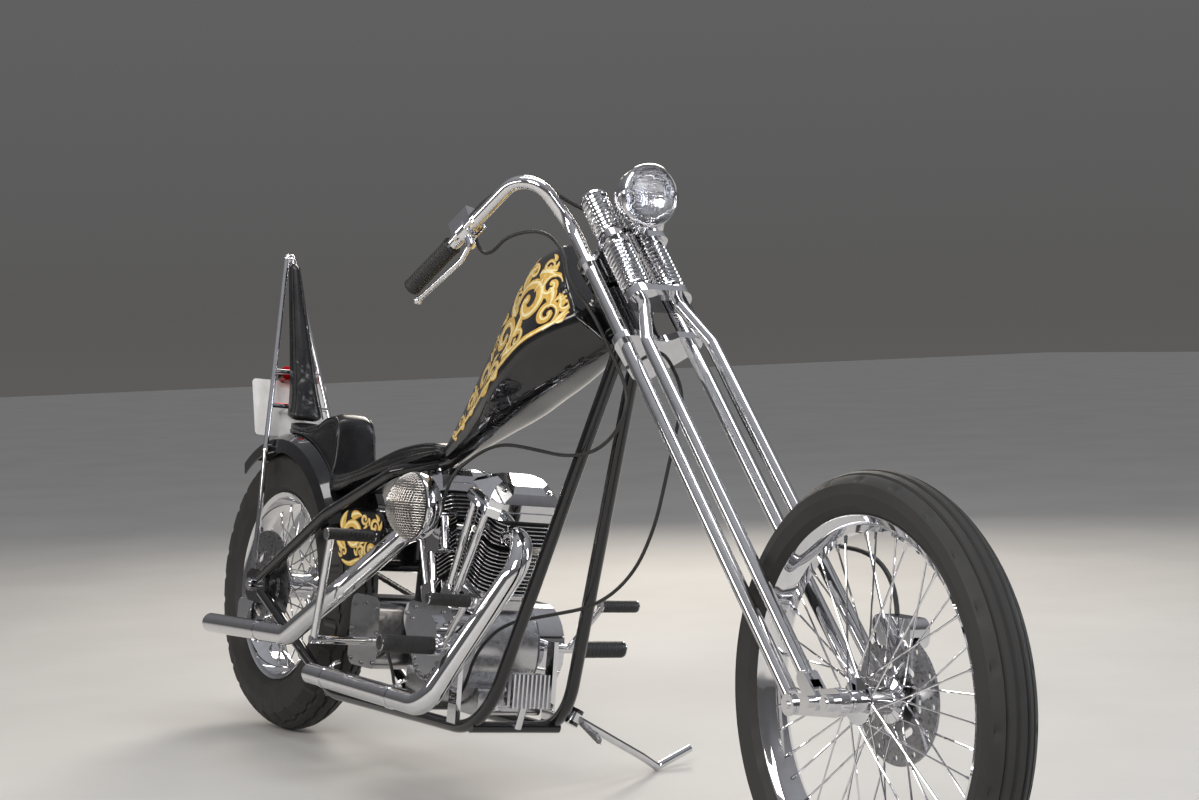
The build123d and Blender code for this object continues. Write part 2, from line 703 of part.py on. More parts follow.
BAR_WAY = (bar_line(BAR_TIP[1]) - bar_line(BAR_KNEE[1])).normalized()
BAR_BEHIND = Vector(-BAR_WAY.Z, 0, BAR_WAY.X)
with BuildPart() as sissy_bar:
    with BuildLine() as path:
        FilletPolyline(
            (-24, -REAR_HALF, 366 + GAP), (-30, -98, 500), (BAR_KNEE[0], -92, BAR_KNEE[1]),
            (BAR_TIP[0], -7, BAR_TIP[1]), (BAR_TIP[0], 7, BAR_TIP[1]),
            (BAR_KNEE[0], 92, BAR_KNEE[1]), (-30, 98, 500), (-24, REAR_HALF, 366 + GAP), radius=8,
        )
    with BuildSketch(path.line ^ 0) as section:
        Circle(SISSY_R)
    sweep(sections=section.sketch, path=path.line)
    for z in (PLATE_BAR_Z, LAMP_BAR_Z):
        half = 92 - 85 * (z - BAR_KNEE[1]) / (BAR_TIP[1] - BAR_KNEE[1])
        rod(bar_line(z) - Vector(0, half, 0), bar_line(z) + Vector(0, half, 0), SISSY_R)
    for side in (-1, 1):
        stub = bar_line(PLATE_BAR_Z) + Vector(0, side * 30, 0)
        rod(stub, stub + BAR_BEHIND * PLATE_BACK, 4)
sissy_bar.part.label = "sissy_bar"

# Rear fender: a band over the tyre with turned-down edges
with BuildPart() as rear_fender:
    with BuildSketch(Plane(origin=REAR_AXLE, x_dir=(1, 0, 0), z_dir=(0, 0, 1))) as section:
        with BuildLine():
            Polyline(
                (FENDER_R - 42, -77), (FENDER_R - 14, -72), (FENDER_R, -46), (FENDER_R, 46),
                (FENDER_R - 14, 72), (FENDER_R - 42, 77), (FENDER_R - 40, 80), (FENDER_R - 11, 75),
                (FENDER_R + 3, 48), (FENDER_R + 3, -48), (FENDER_R - 11, -75), (FENDER_R - 40, -80),
                close=True,
            )
        make_face()
    revolve(section.sketch.rotate(Axis(REAR_AXLE, (0, 1, 0)), -28), axis=Axis(REAR_AXLE, (0, -1, 0)), revolution_arc=98)
    for side in (-1, 1):
        rod((BAR_KNEE[0], side * 78, BAR_KNEE[1] + 4), (BAR_KNEE[0], side * 90, BAR_KNEE[1] + 4), 9)
    cope(sissy_bar)
rear_fender.part.label = "rear_fender"

# Backrest: a tall narrow pad on the front of the bar, as height, half width and thickness
BACKREST = ((717, 32, 44), (800, 27, 42), (900, 21, 36), (1000, 15, 30), (1090, 9, 24))
with BuildPart() as backrest:
    for z, half, thick in BACKREST:
        with BuildSketch(Plane.XY.offset(z)):
            with Locations((bar_line(z).X + SISSY_R * 1.06 + GAP + thick / 2, 0)):
                RectangleRounded(thick, 2 * half, min(thick, half) * 0.35)
    loft(ruled=True)
backrest.part.label = "backrest"

# Number plate, bare, on the bar's two studs, and the tail lamp on the crossbar over it
with BuildPart() as number_plate:
    centre = bar_line(PLATE_BAR_Z) + BAR_WAY * 10 + BAR_BEHIND * (PLATE_BACK + GAP)
    with BuildSketch(Plane(origin=centre, x_dir=(0, 1, 0), z_dir=BAR_BEHIND)):
        RectangleRounded(190, 140, 10)
    extrude(amount=2)
number_plate.part.label = "number_plate"

with BuildPart() as tail_lamp:
    centre = bar_line(LAMP_BAR_Z) + BAR_BEHIND * (SISSY_R + GAP)
    with BuildSketch(Plane(origin=centre, x_dir=(0, 1, 0), z_dir=BAR_BEHIND)):
        RectangleRounded(70, 34, 12)
    extrude(amount=24)
tail_lamp.part.label = "tail_lamp"

# Oil tank under the seat
with BuildPart() as oil_tank:
    with BuildSketch(Plane.XZ.offset(-88)) as outline:
        with Locations((492, 470)):
            RectangleRounded(184, 126, 30)
    extrude(outline.sketch, amount=176)
    with Locations((520, -50, 533)):
        Cylinder(20, 14, align=(Align.CENTER, Align.CENTER, Align.MIN))
    for side in (-1, 1):
        rod((450, side * 78, 525), (450, side * 88, 560), 7)
    cope(seat_rails)
oil_tank.part.label = "oil_tank"

# Crankcase: the drum round the crankshaft with its mounting feet and the two decks
with BuildPart() as crankcase:
    with BuildSketch(Plane.XZ.offset(-CASE_HALF)) as outline:
        with Locations((CRANK_X, CRANK_Z)):
            Circle(116)
        with Locations((CRANK_X + 84, 196), (CRANK_X - 100, 206)):
            RectangleRounded(120, 52, 10)
    extrude(outline.sketch, amount=2 * CASE_HALF)
    for side in (-1, 1):
        with BuildSketch(cylinder_plane(side, 60)) as neck:
            RectangleRounded(100, 120, 14)
        extrude(neck.sketch, amount=DECK - 60)
    rod(CRANK + Vector(0, CASE_HALF, 0), CRANK + Vector(0, PRIMARY_Y, 0), 60)
crankcase.part.label = "crankcase"

# Cylinders: a finned barrel and a finned head on each deck
def cylinder_and_head(side):
    """Barrel spigot, barrel fins that grow with the room in the vee, then the head."""
    with BuildSketch(cylinder_plane(side, DECK)) as barrel:
        Circle(48)
    extrude(barrel.sketch, amount=HEAD_TOP - DECK)
    with BuildSketch(cylinder_plane(side, HEAD_LOW)) as head:
        RectangleRounded(104, 112, 14)
    extrude(head.sketch, amount=HEAD_TOP - HEAD_LOW)
    along = DECK + 28
    while along < HEAD_TOP - 8:
        grown = 6 if along > HEAD_LOW else 0
        with BuildSketch(cylinder_plane(side, along)) as fin:
            RectangleRounded(120 + grown, 132 + grown, 24)
        extrude(fin.sketch, amount=FIN_THICK)
        along += FIN_PITCH


with BuildPart() as front_cylinder:
    cylinder_and_head(1)
front_cylinder.part.label = "front_cylinder"

with BuildPart() as rear_cylinder:
    cylinder_and_head(-1)
rear_cylinder.part.label = "rear_cylinder"

# Rocker boxes: three stacked castings, wider on the right over the pushrods
ROCKER_LAYERS = ((HEAD_TOP, 18, 62, 94), (HEAD_TOP + 20, 18, 60, 92), (HEAD_TOP + 40, 22, 56, 86))


def rocker_box(side):
    """Layers as start, height, half length and reach to the right."""
    with BuildSketch(cylinder_plane(side, HEAD_TOP)) as core:
        with Locations((0, -10)):
            RectangleRounded(106, 132, 12)
    extrude(core.sketch, amount=ROCKER_TOP - HEAD_TOP - 4)
    for start, height, half, reach in ROCKER_LAYERS:
        with BuildSketch(cylinder_plane(side, start)) as layer:
            with Locations((0, (66 - reach) / 2)):
                RectangleRounded(2 * half, 66 + reach, 12)
        extrude(layer.sketch, amount=height)


with BuildPart() as front_rocker_box:
    rocker_box(1)
front_rocker_box.part.label = "front_rocker_box"

with BuildPart() as rear_rocker_box:
    rocker_box(-1)
rear_rocker_box.part.label = "rear_rocker_box"

# Gear cover on the right of the crankcase, with the lifter blocks above it
with BuildPart() as gear_cover:
    with BuildSketch(Plane.XZ.offset(CASE_HALF)) as outline:
        with BuildSketch(mode=Mode.PRIVATE) as rounds:
            with Locations((CRANK_X, CRANK_Z - 10)):
                Circle(62)
            with Locations((CRANK_X + 72, CRANK_Z + 44), (CRANK_X - 72, CRANK_Z + 44)):
                Circle(34)
        make_hull(rounds.sketch.edges())
    extrude(outline.sketch, amount=44)
    with BuildSketch(Plane.XZ.offset(CASE_HALF + 44)) as nose:
        with Locations((CRANK_X + 20, CRANK_Z + 20)):
            Circle(40)
    extrude(nose.sketch, amount=12)
    for side in (-1, 1):
        with BuildSketch(cylinder_plane(side, 70)) as block:
            with Locations((0, -90)):
                RectangleRounded(52, 26, 6)
        extrude(block.sketch, amount=54)
    cope(crankcase)
gear_cover.part.label = "gear_cover"

# Pushrod tubes, two to each cylinder
with BuildPart() as pushrod_tubes:
    for side in (-1, 1):
        foot = cylinder_plane(side, 120)
        seat_plane = cylinder_plane(side, HEAD_TOP + 4)
        for turn_side in (-1, 1):
            rod(
                foot.from_local_coords(Vector(14 * turn_side, -90, 0)),
                seat_plane.from_local_coords(Vector(27 * turn_side, -82, 0)),
                8.5,
            )
    cope(gear_cover, front_rocker_box, rear_rocker_box)
pushrod_tubes.part.label = "pushrod_tubes"

# Carburettor on a manifold out of the vee
with BuildPart() as carburettor:
    rod((CRANK_X, -20, 505), (CRANK_X, -92, 508), 21)
    with BuildSketch(Plane.XZ.offset(84)) as body:
        with Locations((CRANK_X, 512)):
            RectangleRounded(56, 84, 12)
    extrude(body.sketch, amount=36)
    cope(front_cylinder, rear_cylinder)
carburettor.part.label = "carburettor"

# Air cleaner: a chrome cup with a domed face, against the carburettor's mouth
AIR_CENTRE = (862, 556)
AIR_BACK = 120.0
AIR_R = 68.0
AIR_DEEP = 96.0
AIR_RIM = 46.0
AIR_DOME = (AIR_R**2 + (AIR_DEEP - AIR_RIM) ** 2) / (2 * (AIR_DEEP - AIR_RIM))
with BuildPart() as air_cleaner:
    mouth = (AIR_CENTRE[0], -AIR_BACK - GAP, AIR_CENTRE[1])
    with BuildSketch(Plane(origin=mouth, x_dir=(1, 0, 0), z_dir=(0, 0, 1))) as half:
        with BuildLine():
            Polyline((0, -AIR_DEEP), (0, 0), (40, 0), (60, -16), (AIR_R, -38), (AIR_R, -AIR_RIM))
            RadiusArc((AIR_R, -AIR_RIM), (0, -AIR_DEEP), AIR_DOME)
        make_face()
    revolve(half.sketch, axis=Axis(mouth, (0, 1, 0)))
air_cleaner.part.label = "air_cleaner"

# Exhausts: open drag pipes, the front one under the rear one
with BuildPart() as front_exhaust:
    port = cylinder_plane(1, 270).from_local_coords(Vector(64, -38, 0))
    bent_tube(
        [port, (1132, -46, 508), (990, PIPE_Y, 184), (482, PIPE_Y, 184)],
        PIPE_R,
        58,
        PIPE_R - PIPE_WALL,
    )
    cope(front_cylinder)
front_exhaust.part.label = "front_exhaust"

with BuildPart() as rear_exhaust:
    port = cylinder_plane(-1, 270).from_local_coords(Vector(-64, -38, 0))
    bent_tube(
        [port, (646, -66, 492), (556, PIPE_Y + 14, 364), (352, PIPE_Y, 250), (-80, PIPE_Y, 232)],
        PIPE_R,
        46,
        PIPE_R - PIPE_WALL,
    )
    cope(rear_cylinder)
rear_exhaust.part.label = "rear_exhaust"

# Primary cover on the left, from the crankshaft back to the clutch
with BuildPart() as primary_cover:
    with BuildSketch(Plane.XZ.offset(-(PRIMARY_Y + PRIMARY_THICK))) as outline:
        with BuildSketch(mode=Mode.PRIVATE) as rounds:
            with Locations((CRANK_X, CRANK_Z)):
                Circle(88)
            with Locations((GEARBOX_X, CRANK_Z - 4)):
                Circle(106)
        make_hull(rounds.sketch.edges())
    extrude(outline.sketch, amount=PRIMARY_THICK)
primary_cover.part.label = "primary_cover"

# Gearbox with its cover and output shaft
with BuildPart() as gearbox:
    with BuildSketch(Plane.XZ.offset(-70)) as outline:
        with Locations((GEARBOX_X, CRANK_Z - 10)):
            RectangleRounded(136, 150, 26)
    extrude(outline.sketch, amount=152)
    rod((GEARBOX_X, 70, CRANK_Z), (GEARBOX_X, PRIMARY_Y, CRANK_Z), 26)
    rod((GEARBOX_X, CHAIN_Y - 3, CRANK_Z), (GEARBOX_X, CHAIN_Y + 3, CRANK_Z), 35)
gearbox.part.label = "gearbox"

# Chain: one fixed loop from the gearbox to the rear sprocket
with BuildPart() as chain:
    with BuildSketch(Plane.XZ.offset(-(CHAIN_Y + 7))) as loop:
        with BuildSketch(mode=Mode.PRIVATE) as outer:
            with Locations((REAR_AXLE.X, REAR_AXLE.Z)):
                Circle(FINAL_R + 12)
            with Locations((GEARBOX_X, CRANK_Z)):
                Circle(46)
        make_hull(outer.sketch.edges())
        with BuildSketch(mode=Mode.PRIVATE) as inner:
            with Locations((REAR_AXLE.X, REAR_AXLE.Z)):
                Circle(FINAL_R + 1)
            with Locations((GEARBOX_X, CRANK_Z)):
                Circle(35)
        add(make_hull(inner.sketch.edges(), mode=Mode.PRIVATE), mode=Mode.SUBTRACT)
    extrude(loop.sketch, amount=14)
chain.part.label = "chain"

# Kick starter: shaft, arm and folded pedal
with BuildPart() as kick_starter:
    shaft = Vector(558, -82 - GAP, 262)
    rod(shaft, shaft - Vector(0, 136, 0), 9)
    rod(shaft - Vector(0, 128, 0), (608, -214, 478), 8)
    rod((608, -226, 482), (612, -118, 482), 12)
kick_starter.part.label = "kick_starter"

# Foot controls: peg and pedal a side
def foot_control(side):
    """A mount up from the lower rail to the peg, and the pedal's arm forward of it."""
    y = side * 110
    side_plate([(968, 152), (1002, 152), (998, 312), (972, 312)], min(y, y - side * 10), max(y, y - side * 10))
    rod((985, y, 298), (985, side * 158, 298), 8)
    rod((985, side * 158, 298), (978, side * 272, 300), 16)
    rod((985, side * 140, 298), (1083, side * 150, 392), 6.5)
    rod((1083, side * 144, 392), (1078, side * 232, 394), 11)


with BuildPart() as foot_controls:
    for side in (-1, 1):
        foot_control(side)
    cope(lower_rails)
foot_controls.part.label = "foot_controls"

# Regulator: a finned block between the downtubes
REG_FINS = 9
REG_PITCH = 9.4
with BuildPart() as regulator:
    with BuildSketch(Plane.YZ.offset(1062)) as block:
        with Locations((0, 226)):
            RectangleRounded(84, 64, 4)
    extrude(block.sketch, amount=14)
    for number in range(REG_FINS):
        with BuildSketch(Plane.YZ.offset(1075)) as fin:
            with Locations((REG_PITCH * (number - REG_FINS / 2 + 0.5), 226)):
                Rectangle(3, 64)
        extrude(fin.sketch, amount=16)
    rod((1050, 0, 152), (1068, 0, 200), 8)
    cope(lower_rails)
regulator.part.label = "regulator"

# Rear caliper on the right, its tab bolted to the inside of the axle plate
PLATE_INSIDE = AXLE_PLATE / 2 - REAR_HALF
with BuildPart() as rear_caliper:
    with BuildSketch(Plane.XZ.offset(60)) as body:
        with Locations((-84, 246)):
            RectangleRounded(54, 92, 18)
    extrude(body.sketch, amount=38)
    with BuildSketch(Plane.XZ.offset(72)) as slot:
        with Locations((0, REAR_TYRE_R)):
            Circle(131)
    extrude(slot.sketch, amount=15, mode=Mode.SUBTRACT)
    side_plate([(-104, 266), (-70, 226), (-22, 300), (-44, 334)], PLATE_INSIDE, PLATE_INSIDE + 4)
rear_caliper.part.label = "rear_caliper"

# Side stand: hinged under the left rail, its foot flat on the floor when the machine leans
with BuildPart() as side_stand:
    rod(STAND_PIVOT - STAND_AXIS * STAND_EYE / 2, STAND_PIVOT + STAND_AXIS * STAND_EYE / 2, 13)
    bent_tube(
        [
            STAND_PIVOT + STAND_DOWN * 10,
            STAND_FOOT - STAND_DOWN * 60 + Vector(0, 0, STAND_R + 2),
            STAND_FOOT + Vector(0, 0, STAND_R + 1),
            STAND_FOOT + Vector(-16, 90, 44),
        ],
        STAND_R,
        24,
    )
    with Locations(STAND_FOOT + Vector(0, 0, STAND_R / cos(radians(LEAN)))):
        Sphere(STAND_R)
    rod(STAND_PIVOT - STAND_AXIS * 20, STAND_PIVOT + STAND_AXIS * 20, STAND_PIN_R + FIT, mode=Mode.SUBTRACT)
side_stand.part.label = "side_stand"

# Cables and the brake hose along their whole routes. Where a cable passes the steering it runs
# along the stem's axis and is in two halves, whose square ends slide past each other.
CABLE_R = 3.5
HOSE_R = 4.0
CROSSING_OUT = 57.0
CROSSING_UP = 760.0


def crossing(side, up, turn=0.0):
    """A point beside the stem's axis, turned with the steering."""
    around = radians(90 * side + turn)
    return fork(CROSSING_OUT * cos(around) - STEM_BACK, CROSSING_OUT * sin(around), up)


with BuildPart() as brake_hose:
    cable(
        [
            (1072.5, -193.8, 1128.2),
            (1100, -181, 1155),
            (1172, -132, 1198),
            fork(12, -50, 1140),
            fork(12, 20, 1105),
            fork(23, 66, 1078),
            fork(24, 100, 1010),
            fork(10, 94, 900),
            fork(6, 93, 320),
            (2050, 76, 560),
            (2086, 56, 469),
        ],
        HOSE_R,
    )
    cope(front_caliper, brake_lever)
brake_hose.part.label = "brake_hose"


def bar_cable(side):
    """From the lever's clamp, round the outside of the leg and down past both trees."""
    return [
        (1058.4, side * 184.0, 1090.8),
        (1052, side * 172, 1058),
        (1076, side * 157, 1052),
        (1110, side * 140, 1088),
        (1190, side * 104, 1096),
        fork(-10, side * 96, 1030),
        fork(-34, side * 98, 985),
        crossing(side, 930),
        crossing(side, CROSSING_UP),
    ]


with BuildPart() as throttle_cable_fork:
    cable(bar_cable(-1), CABLE_R)
    cope(brake_lever)
throttle_cable_fork.part.label = "throttle_cable_fork"

with BuildPart() as clutch_cable_fork:
    cable(bar_cable(1), CABLE_R)
    cope(clutch_lever)
clutch_cable_fork.part.label = "clutch_cable_fork"

with BuildPart() as throttle_cable_frame:
    cable(
        [
            crossing(-1, CROSSING_UP - 2 * GAP, REST_STEER),
            crossing(-1, CROSSING_UP - 32, REST_STEER),
            (1430, -60, 740),
            (1368, -64, 690),
            (1260, -63, 674),
            (1130, -58, 684),
            (990, -52, 692),
            (908, -64, 664),
            (874, -100, 614),
            (870, -104, 550),
        ],
        CABLE_R,
    )
    cope(carburettor)
throttle_cable_frame.part.label = "throttle_cable_frame"

with BuildPart() as clutch_cable_frame:
    cable(
        [
            crossing(1, CROSSING_UP - 2 * GAP, REST_STEER),
            crossing(1, CROSSING_UP - 32, REST_STEER),
            (1424, 58, 735),
            (1396, 62, 645),
            (1374, 62, 560),
            (1326, 56, 470),
            (1240, 38, 404),
            (1130, -4, 374),
            (1054, -52, 350),
            (1012, -84, 290),
            (986, -86, 216),
            (924, -86, 176),
            (800, -87, 171),
            (690, -84, 178),
            (640, -66, 214),
            (588, -58, 252),
        ],
        CABLE_R,
    )
    cope(gearbox)
clutch_cable_frame.part.label = "clutch_cable_frame"

# Parked pose: steered pieces turn about the stem, then everything leans onto the stand
STEERED = (
    front_tyre, front_wheel, front_disc, front_axle, rear_legs, rockers, spring_legs, springs, lower_tree,
    top_tree, handlebar, grips, headlamp, lamp_lens, brake_lever, clutch_lever, front_caliper, brake_hose,
    throttle_cable_fork, clutch_cable_fork,
)
FIXED = (
    rear_tyre, rear_wheel, rear_sprocket, rear_disc, backbone, downtubes, lower_rails, seat_rails, rear_axle,
    tank, seat, rear_fender, sissy_bar, backrest, number_plate, tail_lamp, oil_tank, crankcase,
    front_cylinder, rear_cylinder, front_rocker_box, rear_rocker_box, gear_cover, pushrod_tubes,
    carburettor, air_cleaner, front_exhaust, rear_exhaust, primary_cover, gearbox, chain, kick_starter,
    foot_controls, regulator, rear_caliper, throttle_cable_frame, clutch_cable_frame, side_stand,
)
STEERING = Axis(fork(-STEM_BACK, 0, 0), FORK.z_dir)


def parked(shape, steered):
    """A shape or a place moved from the upright drawing to the parked pose."""
    if steered:
        shape = shape.rotate(STEERING, REST_STEER)
    return shape.rotate(Axis.X, -LEAN).translate(PARK_SHIFT)


for piece in STEERED + FIXED:
    posed = parked(piece.part, piece in STEERED)
    posed.label = piece.part.label
    export_step(posed, f"parts/{posed.label}.step")
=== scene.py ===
"""Looks of the long-fork chopper: paint, chrome, tread, spokes, coils, fins, scrolls and upholstery.

Pieces are drawn as part.py draws them, upright and straight in millimetres, and then placed in the
parked pose: ON_FRAME for what leans with the frame, ON_FORK for what also turns with the steering.
"""

import json
from functools import partial
from math import acos, atan2, cos, hypot, pi, radians, sin, sqrt

import bmesh
import bpy
from mathutils import Matrix, Vector
from mathutils.bvhtree import BVHTree


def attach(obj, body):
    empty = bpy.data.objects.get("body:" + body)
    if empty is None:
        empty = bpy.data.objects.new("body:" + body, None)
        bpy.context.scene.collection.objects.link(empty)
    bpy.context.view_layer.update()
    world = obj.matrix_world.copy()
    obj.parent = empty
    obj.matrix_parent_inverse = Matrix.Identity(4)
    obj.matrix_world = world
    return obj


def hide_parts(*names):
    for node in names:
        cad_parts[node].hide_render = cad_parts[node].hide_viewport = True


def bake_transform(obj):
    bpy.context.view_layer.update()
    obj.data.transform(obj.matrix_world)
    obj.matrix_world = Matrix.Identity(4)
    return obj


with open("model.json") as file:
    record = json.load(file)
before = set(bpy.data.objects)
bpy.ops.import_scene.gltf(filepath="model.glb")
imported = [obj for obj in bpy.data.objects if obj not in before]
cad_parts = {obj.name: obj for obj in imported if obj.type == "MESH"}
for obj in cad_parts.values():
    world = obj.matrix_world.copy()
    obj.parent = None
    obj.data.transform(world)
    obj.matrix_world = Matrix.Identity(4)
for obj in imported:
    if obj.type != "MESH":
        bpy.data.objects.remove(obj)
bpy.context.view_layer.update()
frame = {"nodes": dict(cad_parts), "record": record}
NODES = frame["nodes"]

# Driving sizes, as in part.py
MM = 0.001
WHEELBASE = 2110.0
RAKE = 45.0
LEAN = 7.3
REST_STEER = -5.0
REAR_CROWN_HALF = 12.0
PARK_SHIFT = Vector((-1062.7, -133.1, REAR_CROWN_HALF * sin(radians(LEAN))))
FRONT_TYRE_R = 346.0
REAR_TYRE_R = 330.0
STEM_BACK = 60.0
SPRING_LEG_AHEAD = 55.0
SPRING_HALF = 36.0
SPRING_R = 27.0
CRANK = Vector((870.0, 0.0, 290.0))
VEE = 22.5
FRONT_AXLE = Vector((WHEELBASE, 0.0, FRONT_TYRE_R))
REAR_AXLE = Vector((0.0, 0.0, REAR_TYRE_R))
FORWARD = Vector((1.0, 0.0, 0.0))
LEFTWARD = Vector((0.0, 1.0, 0.0))
RIGHTWARD = Vector((0.0, -1.0, 0.0))

# The fork's plane: ahead of the rear legs, to the left, up along them
FORK_ORIGIN = FRONT_AXLE - Vector((113.0, 0.0, 18.0))
FORK_AHEAD = Vector((cos(radians(RAKE)), 0.0, sin(radians(RAKE))))
FORK_UP = Vector((-sin(radians(RAKE)), 0.0, cos(radians(RAKE))))


def fork(ahead, left, up):
    """A point given in the fork's own plane."""
    return FORK_ORIGIN + FORK_AHEAD * ahead + LEFTWARD * left + FORK_UP * up


STEM = fork(-STEM_BACK, 0, 0)
ON_FRAME = Matrix.Scale(MM, 4) @ Matrix.Translation(PARK_SHIFT) @ Matrix.Rotation(radians(-LEAN), 4, "X")
STEERED = Matrix.Translation(STEM) @ Matrix.Rotation(radians(REST_STEER), 4, FORK_UP)
ON_FORK = ON_FRAME @ STEERED @ Matrix.Translation(-STEM)
PLACES = {
    "frame": ON_FRAME,
    "rear_wheel_body": ON_FRAME,
    "stand": ON_FRAME,
    "fork": ON_FORK,
    "front_wheel_body": ON_FORK,
}

# Camera of the photograph, solved from both wheels, the fork and the lamp
CAMERA_SPOT = Vector((4.612, -2.004, 0.922))
CAMERA_YAW = 147.959
CAMERA_PITCH = -2.09
CAMERA_ROLL = -1.631
FOCAL_PX = 2156.8
PHOTO_WIDTH = 1199
SENSOR_MM = 36.0
SIGHT_M = 60.0


def add_camera():
    """The camera at the photograph's place and angle."""
    yaw, pitch, roll = radians(CAMERA_YAW), radians(CAMERA_PITCH), radians(CAMERA_ROLL)
    view = Vector((cos(pitch) * cos(yaw), cos(pitch) * sin(yaw), sin(pitch)))
    right = Vector((sin(yaw), -cos(yaw), 0.0))
    up = right.cross(view)
    turned_right = right * cos(roll) + up * sin(roll)
    turned_up = up * cos(roll) - right * sin(roll)
    camera = bpy.data.objects.new("camera", bpy.data.cameras.new("camera"))
    bpy.context.scene.collection.objects.link(camera)
    turn = Matrix((turned_right, turned_up, -view)).transposed().to_4x4()
    camera.matrix_world = Matrix.Translation(CAMERA_SPOT + PARK_SHIFT * MM) @ turn
    camera.data.sensor_width = SENSOR_MM
    camera.data.lens = FOCAL_PX * SENSOR_MM / PHOTO_WIDTH
    camera.data.clip_end = SIGHT_M
    bpy.context.scene.camera = camera


add_camera()


# Mesh helpers
CORNERS = ((-1, -1), (-1, 1), (1, -1), (1, 1))


def across(axis):
    """Two unit vectors square to an axis and to each other."""
    helper = Vector((0.0, 0.0, 1.0)) if abs(axis.z) < 0.9 else FORWARD
    side = helper.cross(axis).normalized()
    return side, axis.cross(side).normalized()


def bridge(mesh, one, two):
    """Faces between two rings of as many points, or between a ring and a single point."""
    if len(one) == 1 or len(two) == 1:
        tip, ring = (one[0], two) if len(one) == 1 else (two[0], one)
        for number in range(len(ring)):
            mesh.faces.new((tip, ring[number], ring[(number + 1) % len(ring)]))
        return
    for number in range(len(one)):
        after = (number + 1) % len(one)
        mesh.faces.new((one[number], one[after], two[after], two[number]))


def circle(mesh, middle, side, up, radius, count):
    """A ring of points round a middle, starting at its side and turning towards up."""
    turns = [2 * pi * k / count for k in range(count)]
    return [mesh.verts.new(middle + (side * cos(turn) + up * sin(turn)) * radius) for turn in turns]


def skin(mesh, rows, caps=False):
    """Faces between each row of points and the next, and over both ends."""
    for one, two in zip(rows, rows[1:]):
        bridge(mesh, one, two)
    if caps:
        mesh.faces.new(list(reversed(rows[0])))
        mesh.faces.new(rows[-1])


def lathe(mesh, centre, axis, profile, count=64, closed=False):
    """A turned form from points of radius and offset along the axis."""
    axis = Vector(axis).normalized()
    side, up = across(axis)
    rows = []
    for radius, offset in profile:
        middle = Vector(centre) + axis * offset
        if radius > 0:
            rows.append(circle(mesh, middle, side, up, radius, count))
        else:
            rows.append([mesh.verts.new(middle)])
    skin(mesh, rows + rows[:1] if closed else rows)


def beside(points):
    """For each point of a line, the point before and the point after it."""
    return zip(points[:1] + points[:-1], points[1:] + points[-1:])


def tube(mesh, points, radius, count=12):
    """A round tube along points, its section carried along without twist."""
    points = [Vector(point) for point in points]
    radii = radius if isinstance(radius, list) else [radius] * len(points)
    ways = [(after - before).normalized() for before, after in beside(points)]
    side, _ = across(ways[0])
    rows = []
    for point, way, reach in zip(points, ways, radii):
        side = (side - way * side.dot(way)).normalized()
        rows.append(circle(mesh, point, side, way.cross(side), reach, count))
    skin(mesh, rows, caps=True)


def rounded(width, height, radius, steps=5):
    """A rectangle's outline with round corners."""
    radius = max(radius, 0.05)
    half_width, half_height = width / 2 - radius, height / 2 - radius
    outline = []
    for quarter, (sx, sy) in enumerate(((1, 1), (-1, 1), (-1, -1), (1, -1))):
        for step in range(steps + 1):
            turn = pi / 2 * (quarter + step / steps)
            outline.append((sx * half_width + radius * cos(turn), sy * half_height + radius * sin(turn)))
    return outline


def slab(mesh, place, width, height, radius, low, high, soft=1.0):
    """A plate with round corners and softened edges, from low to high along the place's z."""
    rows = []
    for shrink, level in ((soft, low), (0.0, low + soft), (0.0, high - soft), (soft, high)):
        ring = rounded(width - 2 * shrink, height - 2 * shrink, radius - shrink)
        rows.append([mesh.verts.new(place @ Vector((x, y, level))) for x, y in ring])
    skin(mesh, rows, caps=True)


def upright_place(origin, x_way, z_way):
    """A matrix that puts a plane's x, y and z at an origin."""
    z_way = Vector(z_way).normalized()
    x_way = Vector(x_way).normalized()
    y_way = z_way.cross(x_way)
    return Matrix.Translation(origin) @ Matrix((x_way, y_way, z_way)).transposed().to_4x4()


def cylinder_place(side):
    """A plane across a cylinder's axis at the crankshaft, its x forward, and the way up the axis."""
    turn = radians(VEE * side)
    up = Vector((sin(turn), 0.0, cos(turn)))
    return upright_place(CRANK, (cos(turn), 0, -sin(turn)), up), up


def thing(name, mesh, material, angle=None):
    """A new object from a finished mesh; edges that bend by more than the angle are sharp."""
    data = bpy.data.meshes.new(name)
    mesh.to_mesh(data)
    mesh.free()
    data.materials.append(material)
    data.shade_smooth()
    if angle is not None:
        data.set_sharp_from_angle(angle=radians(angle))
    item = bpy.data.objects.new(name, data)
    bpy.context.scene.collection.objects.link(item)
    return item


def piece(name, mesh, body, material, angle=35.0, replaces=()):
    """Places a mesh drawn upright in the parked pose, on its body, with its finish."""
    mesh.transform(PLACES[body])
    bmesh.ops.recalc_face_normals(mesh, faces=mesh.faces)
    item = thing(name, mesh, material, angle)
    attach(item, body)
    if replaces:
        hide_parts(*replaces)
    return item


# Materials: clouds of noise shift each one's colour and polish a little
CLOUD_SPAN = (0.3, 0.7)
TINT_SPAN = (0.32, 0.68)


def put(node, **values):
    """Sets a node's sockets; an underscore stands for the space in a socket's name."""
    for name, value in values.items():
        node.inputs[name.replace("_", " ")].default_value = value


def shader(name):
    """A new material with its nodes, links and main shader."""
    material = bpy.data.materials.new(name)
    material.use_nodes = True
    nodes = material.node_tree.nodes
    return material, nodes, material.node_tree.links, nodes["Principled BSDF"]


